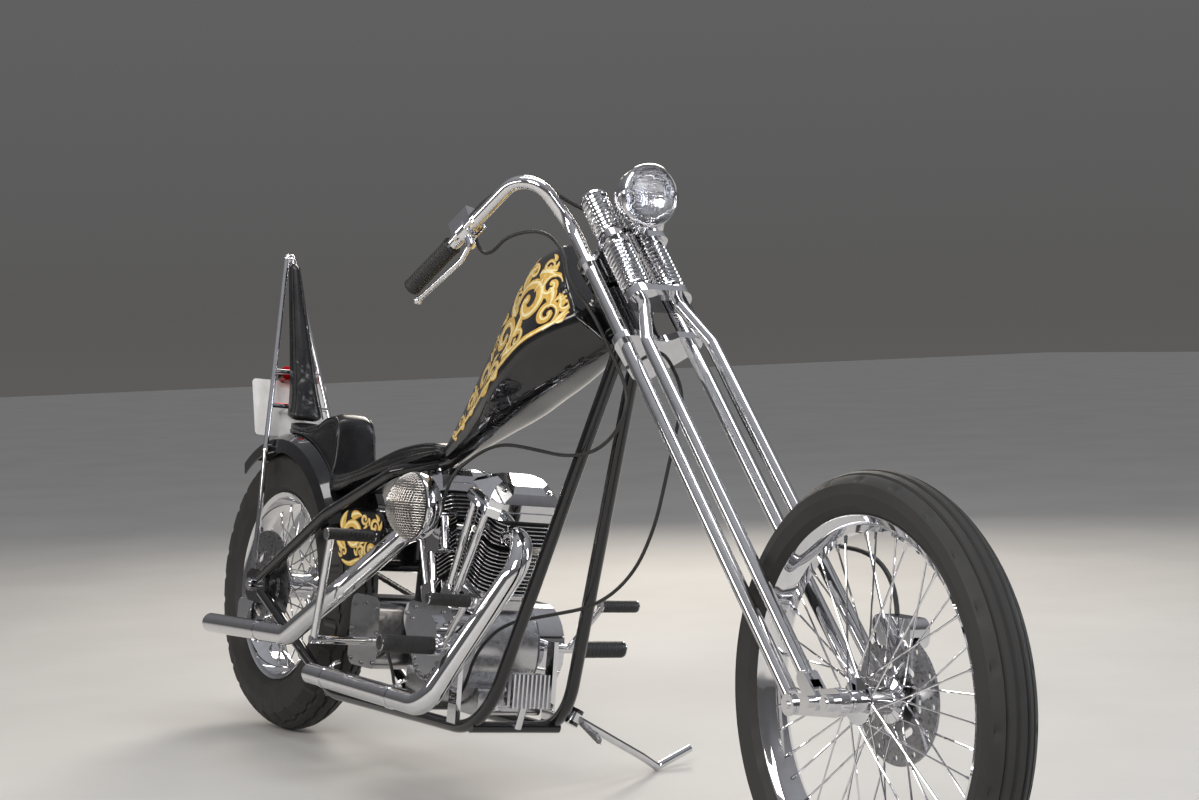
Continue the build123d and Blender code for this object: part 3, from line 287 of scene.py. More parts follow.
def noise(nodes, links, scale, detail=4.0, roughness=0.55):
    """The value of a noise texture fixed to the piece in metres."""
    texture = nodes.new("ShaderNodeTexNoise")
    put(texture, Scale=scale, Detail=detail, Roughness=roughness)
    links.new(nodes.new("ShaderNodeTexCoord").outputs["Object"], texture.inputs["Vector"])
    return texture.outputs["Fac"]


def spread(nodes, links, source, low, high):
    """Maps a noise's value onto a range."""
    span = nodes.new("ShaderNodeMapRange")
    put(span, From_Min=CLOUD_SPAN[0], From_Max=CLOUD_SPAN[1], To_Min=low, To_Max=high)
    links.new(source, span.inputs["Value"])
    return span.outputs["Result"]


def tinted(nodes, links, source, dark, light):
    """Maps a noise's value onto two colours."""
    ramp = nodes.new("ShaderNodeValToRGB")
    for stop, position, colour in zip(ramp.color_ramp.elements, TINT_SPAN, (dark, light)):
        stop.position = position
        stop.color = (*colour, 1.0)
    links.new(source, ramp.inputs["Fac"])
    return ramp.outputs["Color"]


def bumped(nodes, links, main, height, strength, distance):
    """A bump from a height, in metres."""
    bump = nodes.new("ShaderNodeBump")
    put(bump, Strength=strength, Distance=distance)
    links.new(height, bump.inputs["Height"])
    links.new(bump.outputs["Normal"], main.inputs["Normal"])


def clouded(name, dark, light, low, high, scale):
    """A new material whose colour and roughness vary over the surface."""
    material, nodes, links, main = shader(name)
    cloud = noise(nodes, links, scale)
    links.new(tinted(nodes, links, cloud, dark, light), main.inputs["Base Color"])
    links.new(spread(nodes, links, cloud, low, high), main.inputs["Roughness"])
    return material, nodes, links, main


def metal(name, dark, light, low, high, scale=60.0, bump=0.0):
    """A metal, plain or with the fine grain of a worked surface."""
    material, nodes, links, main = clouded(name, dark, light, low, high, scale)
    put(main, Metallic=1.0)
    if bump:
        bumped(nodes, links, main, noise(nodes, links, 400.0), bump, 0.0004)
    return material


def lacquer(name, dark, light, rough=0.12):
    """Paint under a clear coat with a faint orange peel."""
    material, nodes, links, main = clouded(name, dark, light, rough, rough + 0.12, 35.0)
    put(main, Coat_Weight=1.0, Coat_Roughness=0.03, Specular_IOR_Level=0.15)
    bumped(nodes, links, main, noise(nodes, links, 260.0, 2.0), 0.04, 0.0003)
    return material


def painted(name, dark, light, metallic):
    """Brushed-on paint under the clear coat."""
    material, _, _, main = clouded(name, dark, light, 0.28, 0.42, 120.0)
    put(main, Metallic=metallic, Coat_Weight=0.7, Coat_Roughness=0.05)
    return material


def soft(name, dark, light, low, high, scale, bump, depth=0.0003):
    """Rubber or vinyl with a fine grain."""
    material, nodes, links, main = clouded(name, dark, light, low, high, 22.0)
    bumped(nodes, links, main, noise(nodes, links, scale, 6.0, 0.7), bump, depth)
    return material


def glass(name, colour, rough):
    """Glass or clear plastic with faint smears."""
    material, nodes, links, main = shader(name)
    put(main, Base_Color=(*colour, 1.0), Transmission_Weight=1.0, IOR=1.45)
    smears = spread(nodes, links, noise(nodes, links, 50.0), rough, rough + 0.06)
    links.new(smears, main.inputs["Roughness"])
    return material


CHROME = metal("chrome", (0.70, 0.70, 0.72), (0.76, 0.76, 0.78), 0.03, 0.06)
ALLOY = metal("polished_alloy", (0.50, 0.50, 0.51), (0.60, 0.60, 0.61), 0.18, 0.27, 90.0, 0.03)
STEEL = metal("disc_steel", (0.24, 0.24, 0.25), (0.38, 0.38, 0.39), 0.22, 0.38, 150.0, 0.08)
MESH_WIRE = metal("mesh_wire", (0.40, 0.38, 0.36), (0.52, 0.50, 0.48), 0.16, 0.26)
CHAIN_STEEL = metal("chain_steel", (0.20, 0.19, 0.18), (0.42, 0.41, 0.39), 0.25, 0.42, 200.0, 0.1)
SCROLL_GOLD = painted("scroll_gold", (0.70, 0.41, 0.06), (0.90, 0.60, 0.14), 0.15)
# The pale gold of the scrolls' light line is a painted highlight on the strokes.
SCROLL_HIGHLIGHT = painted("scroll_painted_highlight", (0.98, 0.84, 0.40), (1.0, 0.92, 0.58), 0.1)
SCROLL_EDGE = painted("scroll_edge", (0.05, 0.018, 0.006), (0.11, 0.045, 0.012), 0.1)
BLACK = lacquer("black_paint", (0.003, 0.003, 0.004), (0.007, 0.007, 0.008))
BARREL = soft("barrel_black", (0.004, 0.004, 0.004), (0.010, 0.010, 0.010), 0.4, 0.55, 900.0, 0.15)
TYRE = soft("tyre_rubber", (0.010, 0.010, 0.010), (0.022, 0.021, 0.020), 0.55, 0.78, 700.0, 0.25, 0.0004)
RUBBER = soft("soft_rubber", (0.008, 0.008, 0.008), (0.016, 0.016, 0.016), 0.42, 0.6, 900.0, 0.2)
VINYL = soft("vinyl", (0.006, 0.006, 0.007), (0.009, 0.009, 0.010), 0.24, 0.32, 1100.0, 0.12)
PIPING = soft("piping", (0.010, 0.010, 0.011), (0.018, 0.018, 0.019), 0.25, 0.35, 900.0, 0.15)
CLEAR = glass("lens_glass", (0.97, 0.98, 1.0), 0.0)
RED = glass("red_lens", (0.75, 0.01, 0.01), 0.02)
WHITE = lacquer("plate_white", (0.70, 0.70, 0.69), (0.78, 0.78, 0.77), 0.25)

FINISHES = {
    "black_paint": BLACK,
    "scroll_paint": BLACK,
    "chrome": CHROME,
    "polished_alloy": ALLOY,
    "tyre": TYRE,
    "rubber": RUBBER,
    "vinyl": VINYL,
    "lens": CLEAR,
    "red_lens": RED,
    "steel": STEEL,
    "plate_white": WHITE,
}


def dress_nodes():
    """Gives every solid carried over from the frame its finish."""
    for part in frame["record"]["subparts"]:
        item = NODES[part["node"]]
        item.data.materials.clear()
        item.data.materials.append(FINISHES[part["material_slot"]])
        item.data.shade_smooth()


dress_nodes()


# Tyres: the carcass's section with ribs and grooves, as radius and offset
TYRE_STEPS = 288
GROOVES_FROM = 40.0
SIPES_FROM = 60.0
WALL_STEPS = 4
CROWN_STEPS = 16
CROWN_DROP = 0.995
CROWN_FLAT = 0.3


def tyre(name, node, centre, section, grooves, wander, sipes):
    """A tyre of closed section whose grooves may wander and whose shoulders are cut across.

    Grooves are offset, half width and depth; sipes are first offset, spacing in steps and depth.
    """
    mesh = bmesh.new()
    bead = section[0][0]
    rows = []
    for k in range(TYRE_STEPS):
        turn = 2 * pi * k / TYRE_STEPS
        way = Vector((cos(turn), 0.0, sin(turn)))
        ring = []
        for radius, offset in section:
            depth = 0.0
            for middle, width, deep in grooves:
                shifted = middle + wander * (1 if k % 8 < 4 else -1)
                if abs(offset - shifted) < width and radius > bead + GROOVES_FROM:
                    depth = deep
            if radius > bead + SIPES_FROM and abs(offset) > sipes[0] and k % sipes[1] < 2:
                depth = max(depth, sipes[2])
            ring.append(mesh.verts.new(centre + way * (radius - depth) + LEFTWARD * offset))
        rows.append(ring)
    skin(mesh, rows + rows[:1])
    piece(name, mesh, node.replace("tyre", "wheel_body"), TYRE, 25.0, (node,))


def tyre_section(corners, crown):
    """A closed section: bead, bulging wall, then the crown in fine steps, mirrored."""
    half = [corners[0]]
    for (r1, y1), (r2, y2) in zip(corners, corners[1:]):
        for step in range(1, WALL_STEPS + 1):
            share = step / WALL_STEPS
            half.append((r1 + (r2 - r1) * share, y1 + (y2 - y1) * share))
    shoulder, edge = half[-1]
    for step in range(1, CROWN_STEPS):
        offset = edge * (1 - step / CROWN_STEPS)
        half.append((shoulder + (crown - shoulder) * (1 - (offset / edge) ** 2) * CROWN_DROP, offset))
    return [(r, -y) for r, y in half] + [(crown - CROWN_FLAT, 0.0)] + [(r, y) for r, y in reversed(half)]


tyre(
    "front_tyre_ribbed",
    "front_tyre",
    FRONT_AXLE,
    tyre_section([(268.5, 22), (280, 26), (290, 38), (308, 44.5), (324, 41)], 345.5),
    [(-24, 1.6, 4), (-9, 1.6, 4), (9, 1.6, 4), (24, 1.6, 4)],
    0.0,
    (30, 12, 3),
)
tyre(
    "rear_tyre_blocked",
    "rear_tyre",
    REAR_AXLE,
    tyre_section([(205.5, 41), (219, 44), (232, 58), (262, 64.5), (294, 60)], 329.5),
    [(-36, 2.6, 6), (-14, 2.4, 6), (14, 2.4, 6), (36, 2.6, 6)],
    1.6,
    (40, 9, 5),
)


# Wheels: rolled rim, turned hub and laced spokes with their nipples
SPOKES = 40
SPOKE_LEAD = radians(42)
SPOKE_R = 1.6
NIPPLE = ((-15, 2.4), (-3, 3.2), (1, 3.4))


def wheel(node, centre, rim, hub, flange, seat):
    """Rim and hub by lathe; crossed spokes run from flange to rim seat, as radius and offset."""
    mesh = bmesh.new()
    lathe(mesh, centre, LEFTWARD, rim, 160, closed=True)
    lathe(mesh, centre, LEFTWARD, hub, 64, closed=True)
    for number in range(SPOKES):
        side = 1 if number % 2 else -1
        rim_turn = 2 * pi * number / SPOKES
        hub_turn = rim_turn + (SPOKE_LEAD if number % 4 < 2 else -SPOKE_LEAD)
        foot = centre + Vector((cos(hub_turn), 0, sin(hub_turn))) * flange[0] + LEFTWARD * side * flange[1]
        head = centre + Vector((cos(rim_turn), 0, sin(rim_turn))) * seat[0] + LEFTWARD * side * seat[1]
        way = (head - foot).normalized()
        tube(mesh, [foot, head], SPOKE_R, 8)
        tube(mesh, [head + way * at for at, _ in NIPPLE], [radius for _, radius in NIPPLE], 8)
    piece(node + "_laced", mesh, node + "_body", CHROME, 32.0, (node,))


def rim_section(base, wall, lip, well):
    """A drop-centre rim's closed section from its well out to rolled lips."""
    side = [
        (base, 0), (base, well), (base + 9, well + 9), (wall - 8, lip - 5), (wall, lip - 2),
        (wall + 2, lip), (wall + 3.5, lip - 2), (wall + 2, lip - 4), (wall - 9, lip - 9),
        (base + 12, well + 7), (base + 4, well - 1),
    ]
    return side + [(r, -y) for r, y in reversed(side[1:])]


def mirrored(half):
    """A hub's whole section from its right half, given from the outer end inwards."""
    return half + [(r, -y) for r, y in reversed(half) if y]


FRONT_HUB = mirrored([
    (8.3, -48), (17, -48), (17, -34), (35, -31.5), (36, -29), (35, -26.5), (22, -22), (20, 0),
])
REAR_HUB = mirrored([
    (9.8, -76), (24, -76), (25, -41), (45, -38.5), (46, -35.5), (45, -32), (30, -26), (28, 0),
])
FRONT_RIM = rim_section(253, 276, 28.5, 9)
REAR_RIM = rim_section(190, 213, 47.5, 14)
wheel("front_wheel", FRONT_AXLE, FRONT_RIM, FRONT_HUB, (31, 29), (256, 4))
wheel("rear_wheel", REAR_AXLE, REAR_RIM, REAR_HUB, (41, 35.5), (193, 5))


# Springs: four coils on polished rods with cups at both ends, as foot, head and turns
YOKE_UP = 840.0
TOP_TREE_UP = 981.0
TREE_THICK = 15.0
LOWER_SPRING = (YOKE_UP + 14, TOP_TREE_UP, 11)
UPPER_SPRING = (TOP_TREE_UP + TREE_THICK, TOP_TREE_UP + TREE_THICK + 112, 9)
SPRING_WIRE = 4.0
CUP_R = SPRING_R - 0.5
CUP_DEEP = 6.0
CUP_HALF = [(0, 0.4), (CUP_R, 0.4), (CUP_R, 5), (CUP_R - 3, CUP_DEEP), (14, CUP_DEEP), (14, 12), (9, 14)]
TURN_STEPS = 22


def springs():
    """Coils by helix, closed at the ends."""
    mesh = bmesh.new()
    reach = SPRING_R - SPRING_WIRE
    for side in (-1, 1):
        for low, high, turns in (LOWER_SPRING, UPPER_SPRING):
            foot = fork(SPRING_LEG_AHEAD, side * SPRING_HALF, low)
            length = high - low
            steps = turns * TURN_STEPS
            path = []
            for step in range(steps + 1):
                turn = 2 * pi * turns * step / steps
                rise = CUP_DEEP + SPRING_WIRE + (length - 2 * CUP_DEEP - 2 * SPRING_WIRE) * step / steps
                path.append(foot + FORK_UP * rise + (FORK_AHEAD * cos(turn) + LEFTWARD * sin(turn)) * reach)
            tube(mesh, path, SPRING_WIRE, 10)
            rod = CUP_HALF + [(radius, length - at) for radius, at in reversed(CUP_HALF)]
            lathe(mesh, foot, FORK_UP, rod, 40)
    piece("coil_springs", mesh, "fork", CHROME, 35.0, ("springs",))


springs()


# Headlamp: shell, rolled rim, silvered bowl with its bulb, and a fluted lens
LAMP = Vector((1397.0, 0.0, 1151.0))
LAMP_R = 57.0
SHELL_R = LAMP_R - 5
SHELL_BACK = -90.0
SHELL_DEEP = 78.0
SHELL_STEPS = 14
BOWL_R = LAMP_R - 8
BOWL_DEEP = 38.0
BOWL_STEPS = 11
BULB = [(0, -36), (7, -36), (7, -20), (5, -14), (0, -13)]
LENS_R = LAMP_R - 6.5
LENS_STEPS = 32
LENS_COUNT = 192
FLUTE_DEEP = 1.5
FLUTE_PITCH = 4.4
CROSS_FLUTE_DEEP = 0.8
CROSS_FLUTE_PITCH = 7.0


def headlamp():
    """The shell with its rim and bowl in one turned form; the lens is a piece of its own."""
    mesh = bmesh.new()
    shell = []
    for step in range(SHELL_STEPS + 1):
        turn = pi / 2 * step / SHELL_STEPS
        shell.append((SHELL_R * sin(turn), SHELL_BACK + SHELL_DEEP * (1 - cos(turn))))
    rim = [
        (LAMP_R - 4, -11), (LAMP_R - 1, -10), (LAMP_R, -6), (LAMP_R, 2), (LAMP_R - 1.5, 5.5), (LAMP_R - 4, 6),
        (LAMP_R - 6, 4), (LAMP_R - 6.5, 0.5),
    ]
    bowl = []
    for step in range(1, BOWL_STEPS + 1):
        turn = pi / 2 * (1 - step / BOWL_STEPS)
        bowl.append((BOWL_R * sin(turn), -BOWL_DEEP * cos(turn) - 0.5))
    lathe(mesh, LAMP, FORWARD, shell + rim + bowl, 72)
    lathe(mesh, LAMP, FORWARD, BULB, 24)
    for side in (1, -1):
        tube(mesh, [LAMP + Vector((-4, 0, side * reach)) for reach in (LAMP_R - 3, LAMP_R - 0.3)], 3, 10)
    piece("headlamp_shell", mesh, "fork", CHROME, 40.0, ("headlamp",))
    mesh = bmesh.new()
    edges = []
    for front, bulge, lift in ((True, 14.0, 1.0), (False, 10.0, -0.4)):
        rows = [[mesh.verts.new(LAMP + FORWARD * bulge)]]
        for ring in range(1, LENS_STEPS + 1):
            share = ring / LENS_STEPS
            row = []
            for k in range(LENS_COUNT):
                turn = 2 * pi * k / LENS_COUNT
                y, z = LENS_R * share * cos(turn), LENS_R * share * sin(turn)
                level = bulge * (1 - share**2) + lift
                if front and ring < LENS_STEPS:
                    level += FLUTE_DEEP * abs(sin(y * pi / FLUTE_PITCH))
                    level += CROSS_FLUTE_DEEP * abs(sin(z * pi / CROSS_FLUTE_PITCH))
                row.append(mesh.verts.new(LAMP + Vector((level, y, z))))
            rows.append(row)
        skin(mesh, rows)
        edges.append(rows[-1])
    skin(mesh, edges)
    piece("headlamp_lens", mesh, "fork", CLEAR, 60.0, ("lamp_lens",))


headlamp()


# Smooth lines through a table's rows
def slope(before, here, after, column):
    """The slope at a row that never overshoots its neighbours."""
    ahead = (here[column] - before[column]) / (here[0] - before[0]) if here[0] != before[0] else None
    behind = (after[column] - here[column]) / (after[0] - here[0]) if after[0] != here[0] else None
    if ahead is None or behind is None:
        return ahead if behind is None else behind
    return 0.0 if ahead * behind <= 0 else 2 * ahead * behind / (ahead + behind)


def smooth_rows(table, x):
    """A table's values at x, on smooth lines through its rows."""
    number = 0
    falling = table[0][0] > table[-1][0]
    while number < len(table) - 2 and (x < table[number + 1][0]) == falling and x != table[number + 1][0]:
        number += 1
    near, far = table[number], table[number + 1]
    before, after = table[max(number - 1, 0)], table[min(number + 2, len(table) - 1)]
    span = far[0] - near[0]
    t = (x - near[0]) / span
    values = []
    for column in range(1, len(near)):
        leave = slope(before, near, far, column) * span
        reach = slope(near, far, after, column) * span
        values.append(
            near[column] * (2 * t**3 - 3 * t**2 + 1)
            + leave * (t**3 - 2 * t**2 + t)
            + far[column] * (3 * t**2 - 2 * t**3)
            + reach * (t**3 - t**2)
        )
    return values


def softened(corners, reaches, steps=6):
    """An outline whose corners are rounded off within a reach of each."""
    outline = []
    count = len(corners)
    for number, corner in enumerate(corners):
        corner = Vector(corner)
        ends = []
        for other in (Vector(corners[number - 1]), Vector(corners[(number + 1) % count])):
            way = other - corner
            ends.append(corner + way.normalized() * min(reaches[number], 0.45 * way.length))
        for step in range(steps + 1):
            t = step / steps
            outline.append(ends[0] * (1 - t) ** 2 + corner * 2 * t * (1 - t) + ends[1] * t**2)
    return outline


# Tank: the stations of part.py with rounded edges and full sides, cut parallel to the neck. Each is
# x, then half width and height of the top's edge, of the ridge and of the foot
TANK_CLEAR = 38.0
TANK_BULGE = 5.0
TANK_STEPS = 100
TANK_ROUNDING = (22, 20, 24, 24, 20, 22)
TANK_STATIONS = (
    (1330, 12, 1004, 32, 956, 20, 900),
    (1240, 20, 1048, 72, 924, 30, 852),
    (1160, 26, 1071, 96, 890, 36, 816),
    (1110, 28, 1075, 102, 864, 38, 796),
    (1050, 28, 1062, 100, 826, 36, 772),
    (980, 25, 1012, 90, 786, 34, 742),
    (880, 22, 892, 64, 738, 30, 706),
    (722, 18, 690, 32, 670, 22, 650),
)


def cut_front(mesh, back):
    """Cuts off what lies ahead of a plane parallel to the neck."""
    everything = mesh.verts[:] + mesh.edges[:] + mesh.faces[:]
    front = fork(-STEM_BACK - back, 0, 0)
    bmesh.ops.bisect_plane(mesh, geom=everything, plane_co=front, plane_no=FORK_AHEAD, clear_outer=True)


def tank():
    """A six-sided shell, rounded all over; its skin is kept for the scrolls."""
    mesh = bmesh.new()
    rows = []
    first, last = TANK_STATIONS[0][0], TANK_STATIONS[-1][0]
    for number in range(TANK_STEPS + 1):
        x = first + (last - first) * number / TANK_STEPS
        top_half, top_z, ridge_half, ridge_z, foot_half, foot_z = smooth_rows(TANK_STATIONS, x)
        half_ring = [(top_half, top_z), (ridge_half, ridge_z), (foot_half, foot_z)]
        ring = [(-y, z) for y, z in reversed(half_ring)] + half_ring
        row = []
        for y, z in softened(ring, TANK_ROUNDING):
            share = (z - ridge_z) / (top_z - ridge_z)
            if 0 < share < 1:
                y += (TANK_BULGE if y > 0 else -TANK_BULGE) * sin(pi * share) * (ridge_half / 100)
            row.append(mesh.verts.new((x, y, z)))
        rows.append(row)
    skin(mesh, rows, caps=True)
    cut_front(mesh, TANK_CLEAR)
    rim = [edge for edge in mesh.edges if edge.is_boundary]
    bmesh.ops.contextual_create(mesh, geom=rim)
    bmesh.ops.recalc_face_normals(mesh, faces=mesh.faces)
    bmesh.ops.bevel(mesh, geom=rim, offset=4.0, offset_type="OFFSET", segments=3, profile=0.6, affect="EDGES")
    outside = BVHTree.FromBMesh(mesh)
    piece("tank_shell", mesh, "frame", BLACK, 40.0, ("tank",))
    return outside


TANK_SKIN = tank()


# Scrolls: painted strokes a hair above the black, each with a dark edge and a light line, the light line a
# painted highlight
SCROLL_STRETCH = 1.4
RIBBON_STEPS = 4
EDGE_LIFT = 0.25
EDGE_GROW = 1.3
GOLD_LIFT = 0.5
# The light line's lift, share of the stroke's width and shift: a painted highlight.
HIGHLIGHT_LIFT = 0.7
HIGHLIGHT_SHARE = 0.26
HIGHLIGHT_SHIFT = 0.16
VINE_WIDE = 12.0
# The third paint, light, is a painted highlight along each stroke.
PAINTS = (("edge", SCROLL_EDGE), ("gold", SCROLL_GOLD), ("light", SCROLL_HIGHLIGHT))


def ribbon(mesh, lay, route, widths, lift, grow=0.0, share=1.0, shift=0.0):
    """A flat band along a route of 2-D points; lay turns a point and its lift into its place."""
    rows = []
    for (u, v), width, (before, after) in zip(route, widths, beside(route)):
        du, dv = after[0] - before[0], after[1] - before[1]
        length = hypot(du, dv) or 1.0
        nu, nv = -dv / length, du / length
        half = width * share / 2 + grow
        u += nu * shift * width
        v += nv * shift * width
        row = []
        for step in range(RIBBON_STEPS + 1):
            out = half * (2 * step / RIBBON_STEPS - 1)
            row.append(mesh.verts.new(lay(u - nu * out, v - nv * out, lift)))
        rows.append(row)
    for one, two in zip(rows, rows[1:]):
        for number in range(RIBBON_STEPS):
            mesh.faces.new((one[number], one[number + 1], two[number + 1], two[number]))


def stroke(paints, lay, route, widths):
    """One stroke of the brush in the three paints: edge, gold and the light line, a painted highlight."""
    edge, gold, light = paints
    ribbon(edge, lay, route, widths, EDGE_LIFT, grow=EDGE_GROW)
    ribbon(gold, lay, route, widths, GOLD_LIFT)
    # A narrow pale band to one side of the stroke: a painted highlight.
    ribbon(light, lay, route, widths, HIGHLIGHT_LIFT, share=HIGHLIGHT_SHARE, shift=HIGHLIGHT_SHIFT)


def curl(centre, reach, start, turns, wide, steps=44):
    """An open spiral that winds in and ends blunt, thickest part way along."""
    route, widths = [], []
    for step in range(steps + 1):
        share = step / steps
        turn = start + 2 * pi * turns * share
        radius = reach * (0.36 + 0.64 * (1 - share) ** 1.1)
        route.append((centre[0] + radius * cos(turn), centre[1] + radius * sin(turn)))
        widths.append(wide * (0.14 + 0.9 * sin(pi * (0.02 + share * 0.82)) ** 0.8))
    return route, widths


def leaf(start, way, length, wide, bend, steps=12):
    """A lobe that bends as it goes and ends in a point."""
    route, widths = [], []
    u, v = start
    heading = way
    for step in range(steps + 1):
        share = step / steps
        route.append((u, v))
        widths.append(wide * sin(pi * share**0.62) + 0.3)
        heading += bend / steps
        u += length / steps * cos(heading)
        v += length / steps * sin(heading)
    return route, widths


def scrolls(paints, lay, vine, curls):
    """A vine, and curls off it as x, z, reach, start, turns and leaves round the outside."""
    vine = [(x / SCROLL_STRETCH, z) for x, z in smooth_line(vine)]
    widths = [VINE_WIDE * (0.25 + 0.75 * sin(pi * k / (len(vine) - 1))) for k in range(len(vine))]
    stroke(paints, lay, vine, widths)
    for x, z, reach, start, turns, leaves in curls:
        x /= SCROLL_STRETCH
        hand = 1 if turns > 0 else -1
        for number in range(leaves):
            turn = radians(start) + hand * (0.1 + 1.05 * number)
            root = (x + reach * 1.18 * cos(turn), z + reach * 1.18 * sin(turn))
            length = reach * (1.5 - 0.16 * number)
            stroke(paints, lay, *leaf(root, turn + hand * 1.25, length, reach * 0.56, hand * 0.8))
        stroke(paints, lay, *curl((x, z), reach, radians(start), turns, reach * 0.54))
        end = radians(start) + 2 * pi * turns
        bead = (x + reach * 0.3 * cos(end), z + reach * 0.3 * sin(end))
        stroke(paints, lay, *curl(bead, reach * 0.15, end, 1.2, reach * 0.3, 14))


def smooth_line(points, steps=10):
    """A 2-D line that runs smoothly through a few points."""
    route = []
    for number in range(len(points) - 1):
        a, b = Vector(points[max(number - 1, 0)]), Vector(points[number])
        c, d = Vector(points[number + 1]), Vector(points[min(number + 2, len(points) - 1)])
        for step in range(steps):
            t = step / steps
            bend = (2 * a - 5 * b + 4 * c - d) * t**2 + (3 * b - a - 3 * c + d) * t**3
            spot = 0.5 * (2 * b + (c - a) * t + bend)
            route.append((spot.x, spot.y))
    route.append(tuple(points[-1]))
    return route


def painted_scrolls(name, lay, vine, curls, back=None):
    """Scrolls on both sides of a shell, a piece for each paint; lay takes side, u, z and lift."""
    paints = [bmesh.new() for _ in PAINTS]
    for side in (-1, 1):
        scrolls(paints, partial(lay, side), vine, curls)
    for mesh, (suffix, paint) in zip(paints, PAINTS):
        if back is not None:
            cut_front(mesh, back)
        # The pieces whose names end in light are the painted highlight.
        piece(name + suffix, mesh, "frame", paint, 60.0)


TANK_VINE = (
    (1232, 940), (1190, 916), (1130, 892), (1080, 868), (1030, 838),
    (980, 806), (900, 764), (830, 726), (770, 694),
)
TANK_CURLS = (
    (1078, 962, 45, 215, -1.15, 4),
    (1142, 990, 27, 20, 1.15, 3),
    (1168, 936, 25, 320, 1.15, 2),
    (1108, 1030, 15, 330, 1.1, 2),
    (1050, 1024, 16, 200, -1.1, 2),
    (1080, 890, 22, 250, -1.1, 2),
    (1214, 956, 17, 60, 1.1, 2),
    (994, 896, 40, 290, 1.15, 4),
    (1000, 968, 20, 20, 1.1, 2),
    (1000, 826, 23, 215, -1.1, 2),
    (912, 818, 32, 290, 1.15, 3),
    (930, 880, 16, 20, 1.1, 2),
    (890, 770, 17, 215, -1.1, 2),
    (842, 768, 22, 290, 1.15, 3),
    (804, 730, 14, 290, 1.15, 2),
    (770, 702, 9, 290, 1.1, 2),
)


def on_tank(side, u, z, lift):
    """A point of a side view of the tank, laid on its skin."""
    x = u * SCROLL_STRETCH
    spot, normal, _, _ = TANK_SKIN.ray_cast(Vector((x, 200 * side, z)), Vector((0, -side, 0)))
    if spot is None:
        spot, normal, _, _ = TANK_SKIN.find_nearest(Vector((x, 50 * side, z)))
    return spot + normal * lift


painted_scrolls("tank_scroll_", on_tank, TANK_VINE, TANK_CURLS, TANK_CLEAR + 6)


# Seat and backrest: upholstered skins with piping and buttons. The seat's stations are x, then half
# width, top and foot
FENDER_R = 348.0
FENDER_SHEET = 3.0
SEAT_CLEAR = 0.4
SEAT_STEPS = 130
STEP_FOOT = 252
SHOULDER = 24
SEAM_R = 2.2
SEAT_STATIONS = (
    (702, 30, 682, 664),
    (670, 46, 684, 652),
    (600, 66, 673, 630),
    (500, 76, 641, 606),
    (400, 78, 612, 584),
    (300, 70, 600, 566),
    (252, 60, 600, 560),
    (247, 52, 652, 560),
    (242, 49, 704, 560),
    (232, 48, 724, 565),
    (212, 48, 733, 582),
    (180, 48, 729, 600),
    (110, 47, 706, 640),
    (50, 46, 697, 660),
    (-10, 44, 706, 670),
    (-40, 40, 712, 672),
)


def seat_at(x):
    """Half width, top and foot of the seat, its foot on the fender's arc."""
    half, top, foot = smooth_rows(SEAT_STATIONS, x)
    reach = FENDER_R + FENDER_SHEET + SEAT_CLEAR
    if abs(x) < reach:
        foot = max(foot, REAR_AXLE.z + sqrt(reach**2 - x**2) + 0.3)
    return half, top, min(foot, top - 8)


def shoulder_of(half, wall):
    """How round a section's upper corners are."""
    return min(SHOULDER, wall * 0.45, half * 0.6)


def cushion_ring(half, top, foot):
    """Points of a section: flat sole, bulging side and crowned top, from left sole to right sole."""
    points = [(half - 7, foot), (half - 2, foot + 2)]
    wall = top - foot
    shoulder = shoulder_of(half, wall)
    for step in range(8):
        share = step / 7
        points.append((half - 2.5 + 3.5 * sin(pi * share), foot + 4 + (wall - 4 - shoulder) * share))
    for step in range(1, 8):
        turn = pi / 2 * step / 7
        points.append((half - shoulder + shoulder * cos(turn), top - shoulder + shoulder * sin(turn)))
    edge = points[-1][0]
    crown = [(edge * (1 - step / 5), top) for step in range(1, 10)]
    return points + crown + [(-y, z) for y, z in reversed(points)]


def seat():
    """The skin follows the stations from the nose, down the dish and up the passenger's step."""
    mesh = bmesh.new()
    first, last = SEAT_STATIONS[0][0] - 1, SEAT_STATIONS[-1][0] + 1
    places = [first + (last - first) * k / SEAT_STEPS for k in range(SEAT_STEPS + 1)]
    places = sorted(set(places + [STEP_FOOT - 0.8 * k for k in range(30)]), reverse=True)
    rows = []
    for x in places:
        half, top, foot = seat_at(x)
        end = min(abs(x - first), abs(x - last))
        pull = 1 - max(0.0, 1 - end / 16.0) ** 2 * 0.35
        ring = []
        for y, z in cushion_ring(half * pull, top, foot):
            lift = (z - foot) / (top - foot)
            z = foot + (z - foot) * (pull if z > foot + 4 else 1)
            z += 3.0 * lift * cos(pi / 2 * min(1.0, abs(y) / half)) - 2.0 * lift
            ring.append(mesh.verts.new((x, y, z)))
        rows.append(ring)
    skin(mesh, rows, caps=True)
    cover = piece("seat_cover", mesh, "frame", VINYL, 60.0, ("seat",))
    mesh = bmesh.new()
    for side in (-1, 1):
        sole, edge = [], []
        for x in places[3:-3]:
            half, top, foot = seat_at(x)
            shoulder = shoulder_of(half, top - foot)
            sole.append((x, side * (half - 1.5), foot + 4))
            edge.append((x, side * (half - shoulder * 0.26), top - shoulder * 0.32))
        tube(mesh, sole, SEAM_R, 8)
        tube(mesh, edge, SEAM_R, 8)
    piece("seat_piping", mesh, "frame", PIPING, 60.0)


seat()

